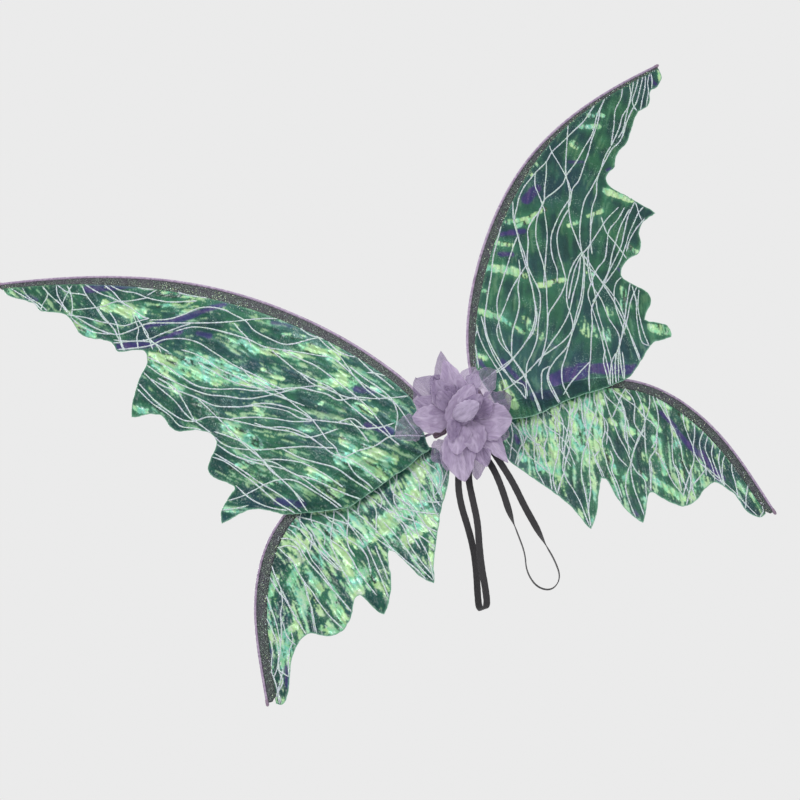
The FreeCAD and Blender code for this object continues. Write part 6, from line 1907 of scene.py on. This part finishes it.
back = puffed("felt_back_pad", pad_outline(), -2.5, 0.0, FELT, 0.0, 0.0, seed=21)
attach(back, "hub"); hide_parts("back_pad")
frontp = puffed("felt_front_pad", pad_outline(), -6.5, -2.6, FELT, 0.0, 0.0, seed=22)
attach(frontp, "hub"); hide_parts("front_pad")

ba = Batch()
ins = inset(pad_outline(), 2.6)
stitch_run(ba, ins, -0.12, 3.6, 2.4, 0.27, 1.0)
stitch_run(ba, ins, -6.35, 3.6, 2.4, 0.27, -1.0)
# whip stitches wrapped over the pad's rim
rim = resample(pad_outline(), 1.0)
T = np.roll(rim, -1, axis=0) - np.roll(rim, 1, axis=0)
T /= np.linalg.norm(T, axis=1)[:, None]
nrm_out = np.stack([T[:, 1], -T[:, 0]], 1)
nrm_out *= -np.sign((nrm_out * (rim.mean(0) - rim)).sum(1).mean())
for i in range(0, len(rim), 5):
    p, n, t = rim[i], nrm_out[i], T[i]
    if abs(p[0]) > 16.0 and -18.5 < p[1] < 25.0:
        continue                     # the root tabs' cloth hinge is here
    a = np.linspace(0, math.pi, 9)
    y = -3.25 + 3.30 * np.cos(a)
    out_r = 0.55 * np.sin(a) ** 0.6 - 2.0 * (np.cos(a) ** 2) ** 3
    slant = (a / math.pi - 0.5) * 1.3
    L = np.stack([p[0] + n[0] * out_r + t[0] * slant, y, p[1] + n[1] * out_r + t[1] * slant], 1)
    S, U = frames(L)
    ba.add(*tube_arrays(L, S, U, circle(6, 0.26)))
st = ba.make("hub_whip_stitches", THREAD)
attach(st, "hub"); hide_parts("edge_stitches")

TAB = [(1.0, -16.0), (1.0, 22.0), (2.5, 24.0), (15.0, 24.0), (19.0, 20.0), (19.0, -16.5), (17.5, -18.0), (2.5, -18.0)]
FELT_TAB = cloth_material("ribbed_felt", (92, 74, 84), (128, 106, 116), (156, 134, 142), 900.0, 0.15, 0.85)
for side in ("left", "right"):
    left = side == "left"
    tab = puffed(side + "_felt_tab", TAB, -1.5, 1.5, FELT_TAB, seed=31 + left, seam=1.9, step=0.9,
                 place=lambda v, left=left: to_world(v, left))
    if left:
        tab.data.flip_normals()
    body = side + "_root"
    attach(tab, body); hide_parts(side + "_root_tab")
    ba = Batch()
    ins = inset(TAB, 1.9)
    stitch_run(ba, ins, 1.42, 3.0, 2.0, 0.24, 1.0)
    stitch_run(ba, ins, -1.42, 3.0, 2.0, 0.24, -1.0)
    ts = link_fast(side + "_tab_stitches", to_world(np.concatenate(ba.v), left), np.concatenate(ba.l), np.concatenate(ba.s), THREAD)
    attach(ts, body)
    # cloth hinge between pad and tab
    sx = -1.0 if left else 1.0
    cols, rowsz = 9, 30
    zz = np.linspace(-15.5, 22.0, rowsz)
    a = np.array([sx * 16.9, -3.25]); b2 = to_world([[1.35, 0.0, 0.0]], left)[0] / MM
    b2 = np.array([b2[0], b2[1]])
    V = []
    for face in (-1, 1):
        for z in zz:
            for k in range(cols):
                t = k / (cols - 1)
                p = a * (1 - t) + b2 * t
                off = face * (0.55 + 0.12 * math.cos(t * math.pi * 4)) + 0.25 * math.sin(math.pi * t)
                V.append((p[0], p[1] + off, z + 0.12 * math.sin(z * 2.1 + t * 3)))
    V = np.array(V)
    N = cols * rowsz
    q = []
    for i in range(rowsz - 1):
        for k in range(cols - 1):
            c0 = i * cols + k
            q.append((c0, c0 + 1, c0 + 1 + cols, c0 + cols))
            q.append((c0 + N, c0 + cols + N, c0 + 1 + cols + N, c0 + 1 + N))
    bo = [k for k in range(cols)] + [i * cols + cols - 1 for i in range(1, rowsz)] \
        + [(rowsz - 1) * cols + k for k in range(cols - 2, -1, -1)] + [i * cols for i in range(rowsz - 2, 0, -1)]
    for c0, c1 in zip(bo, bo[1:] + bo[:1]):
        q.append((c1, c0, c0 + N, c1 + N))
    hinge = link(side + "_cloth_hinge", V * MM, q, FELT_TAB)
    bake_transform(hinge)

# folded and box-stitched ends of the elastic, over the CAD anchors
for nm, xs in (("left", (-21.0, -9.0)), ("right", (9.0, 20.0))):
    ba = Batch()
    for x in xs:
        # folded band: a flat loop seen from the side, run across its width
        prof = []
        k = 40
        for i in range(k):
            a = i / k * 2 * math.pi
            ca, sa = math.cos(a), math.sin(a)
            prof.append((math.copysign(abs(ca) ** 0.35, ca) * 2.95, math.copysign(abs(sa) ** 0.45, sa) * 2.95))
        prof = np.array(prof)
        w = np.linspace(-4.25, 4.25, 15)
        Vv = []
        for j, wx in enumerate(w):
            e = 1 - 0.12 * (abs(wx) / 4.25) ** 6 + 0.02 * math.cos(wx * 4.6)
            dent = 0.25 * math.exp(-((abs(wx) - 3.0) / 0.4) ** 2)
            Vv.append(np.stack([np.full(k, x + wx), -3.4 + prof[:, 0] * e - np.sign(prof[:, 0]) * dent, -37.0 + prof[:, 1] * e], 1))
        Vv = np.concatenate(Vv)
        lp, stt = [], []
        for j in range(len(w) - 1):
            for i in range(k):
                stt.append(len(lp))
                lp += [j * k + i, j * k + (i + 1) % k, (j + 1) * k + (i + 1) % k, (j + 1) * k + i]
        stt.append(len(lp)); lp += list(range(k - 1, -1, -1))
        stt.append(len(lp)); lp += [(len(w) - 1) * k + i for i in range(k)]
        ba.add(Vv, lp, stt)
    ob = ba.make(nm + "_elastic_ends", ELASTIC_FOLD)
    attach(ob, "hub"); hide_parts(nm + "_strap_anchors")
    bs = Batch()
    for x in xs:
        for face, yy in ((-1.0, -6.35), (1.0, -0.45)):
            box = [(x - 3.0, -39.0), (x + 3.0, -39.0), (x + 3.0, -35.2), (x - 3.0, -35.2)]
            stitch_run(bs, resample(box, 0.6), yy, 1.9, 1.3, 0.2, face)
    so = bs.make(nm + "_anchor_stitches", THREAD)
    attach(so, "hub")

# ---------------------------------------------------------------- remaining CAD nodes
for nm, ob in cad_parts.items():
    if nm.endswith("_spar_wire"):
        mat = STEEL
    elif nm.endswith("_tie"):
        mat = THREAD
    elif nm.endswith("_anchors"):
        mat = ELASTIC_FOLD
    elif nm == "stiffener_board":
        mat = BOARD
    elif nm == "glue_puck":
        mat = GLUE
    elif nm == "flower_base":
        mat = FELT_DISC
    elif nm in ("edge_stitches",):
        mat = THREAD
    elif nm.startswith("petals") or nm == "flower_bud":
        mat = CHIFFON_A
    else:
        mat = FELT
    ob.data.materials.clear()
    ob.data.materials.append(mat)

bpy.context.view_layer.update()
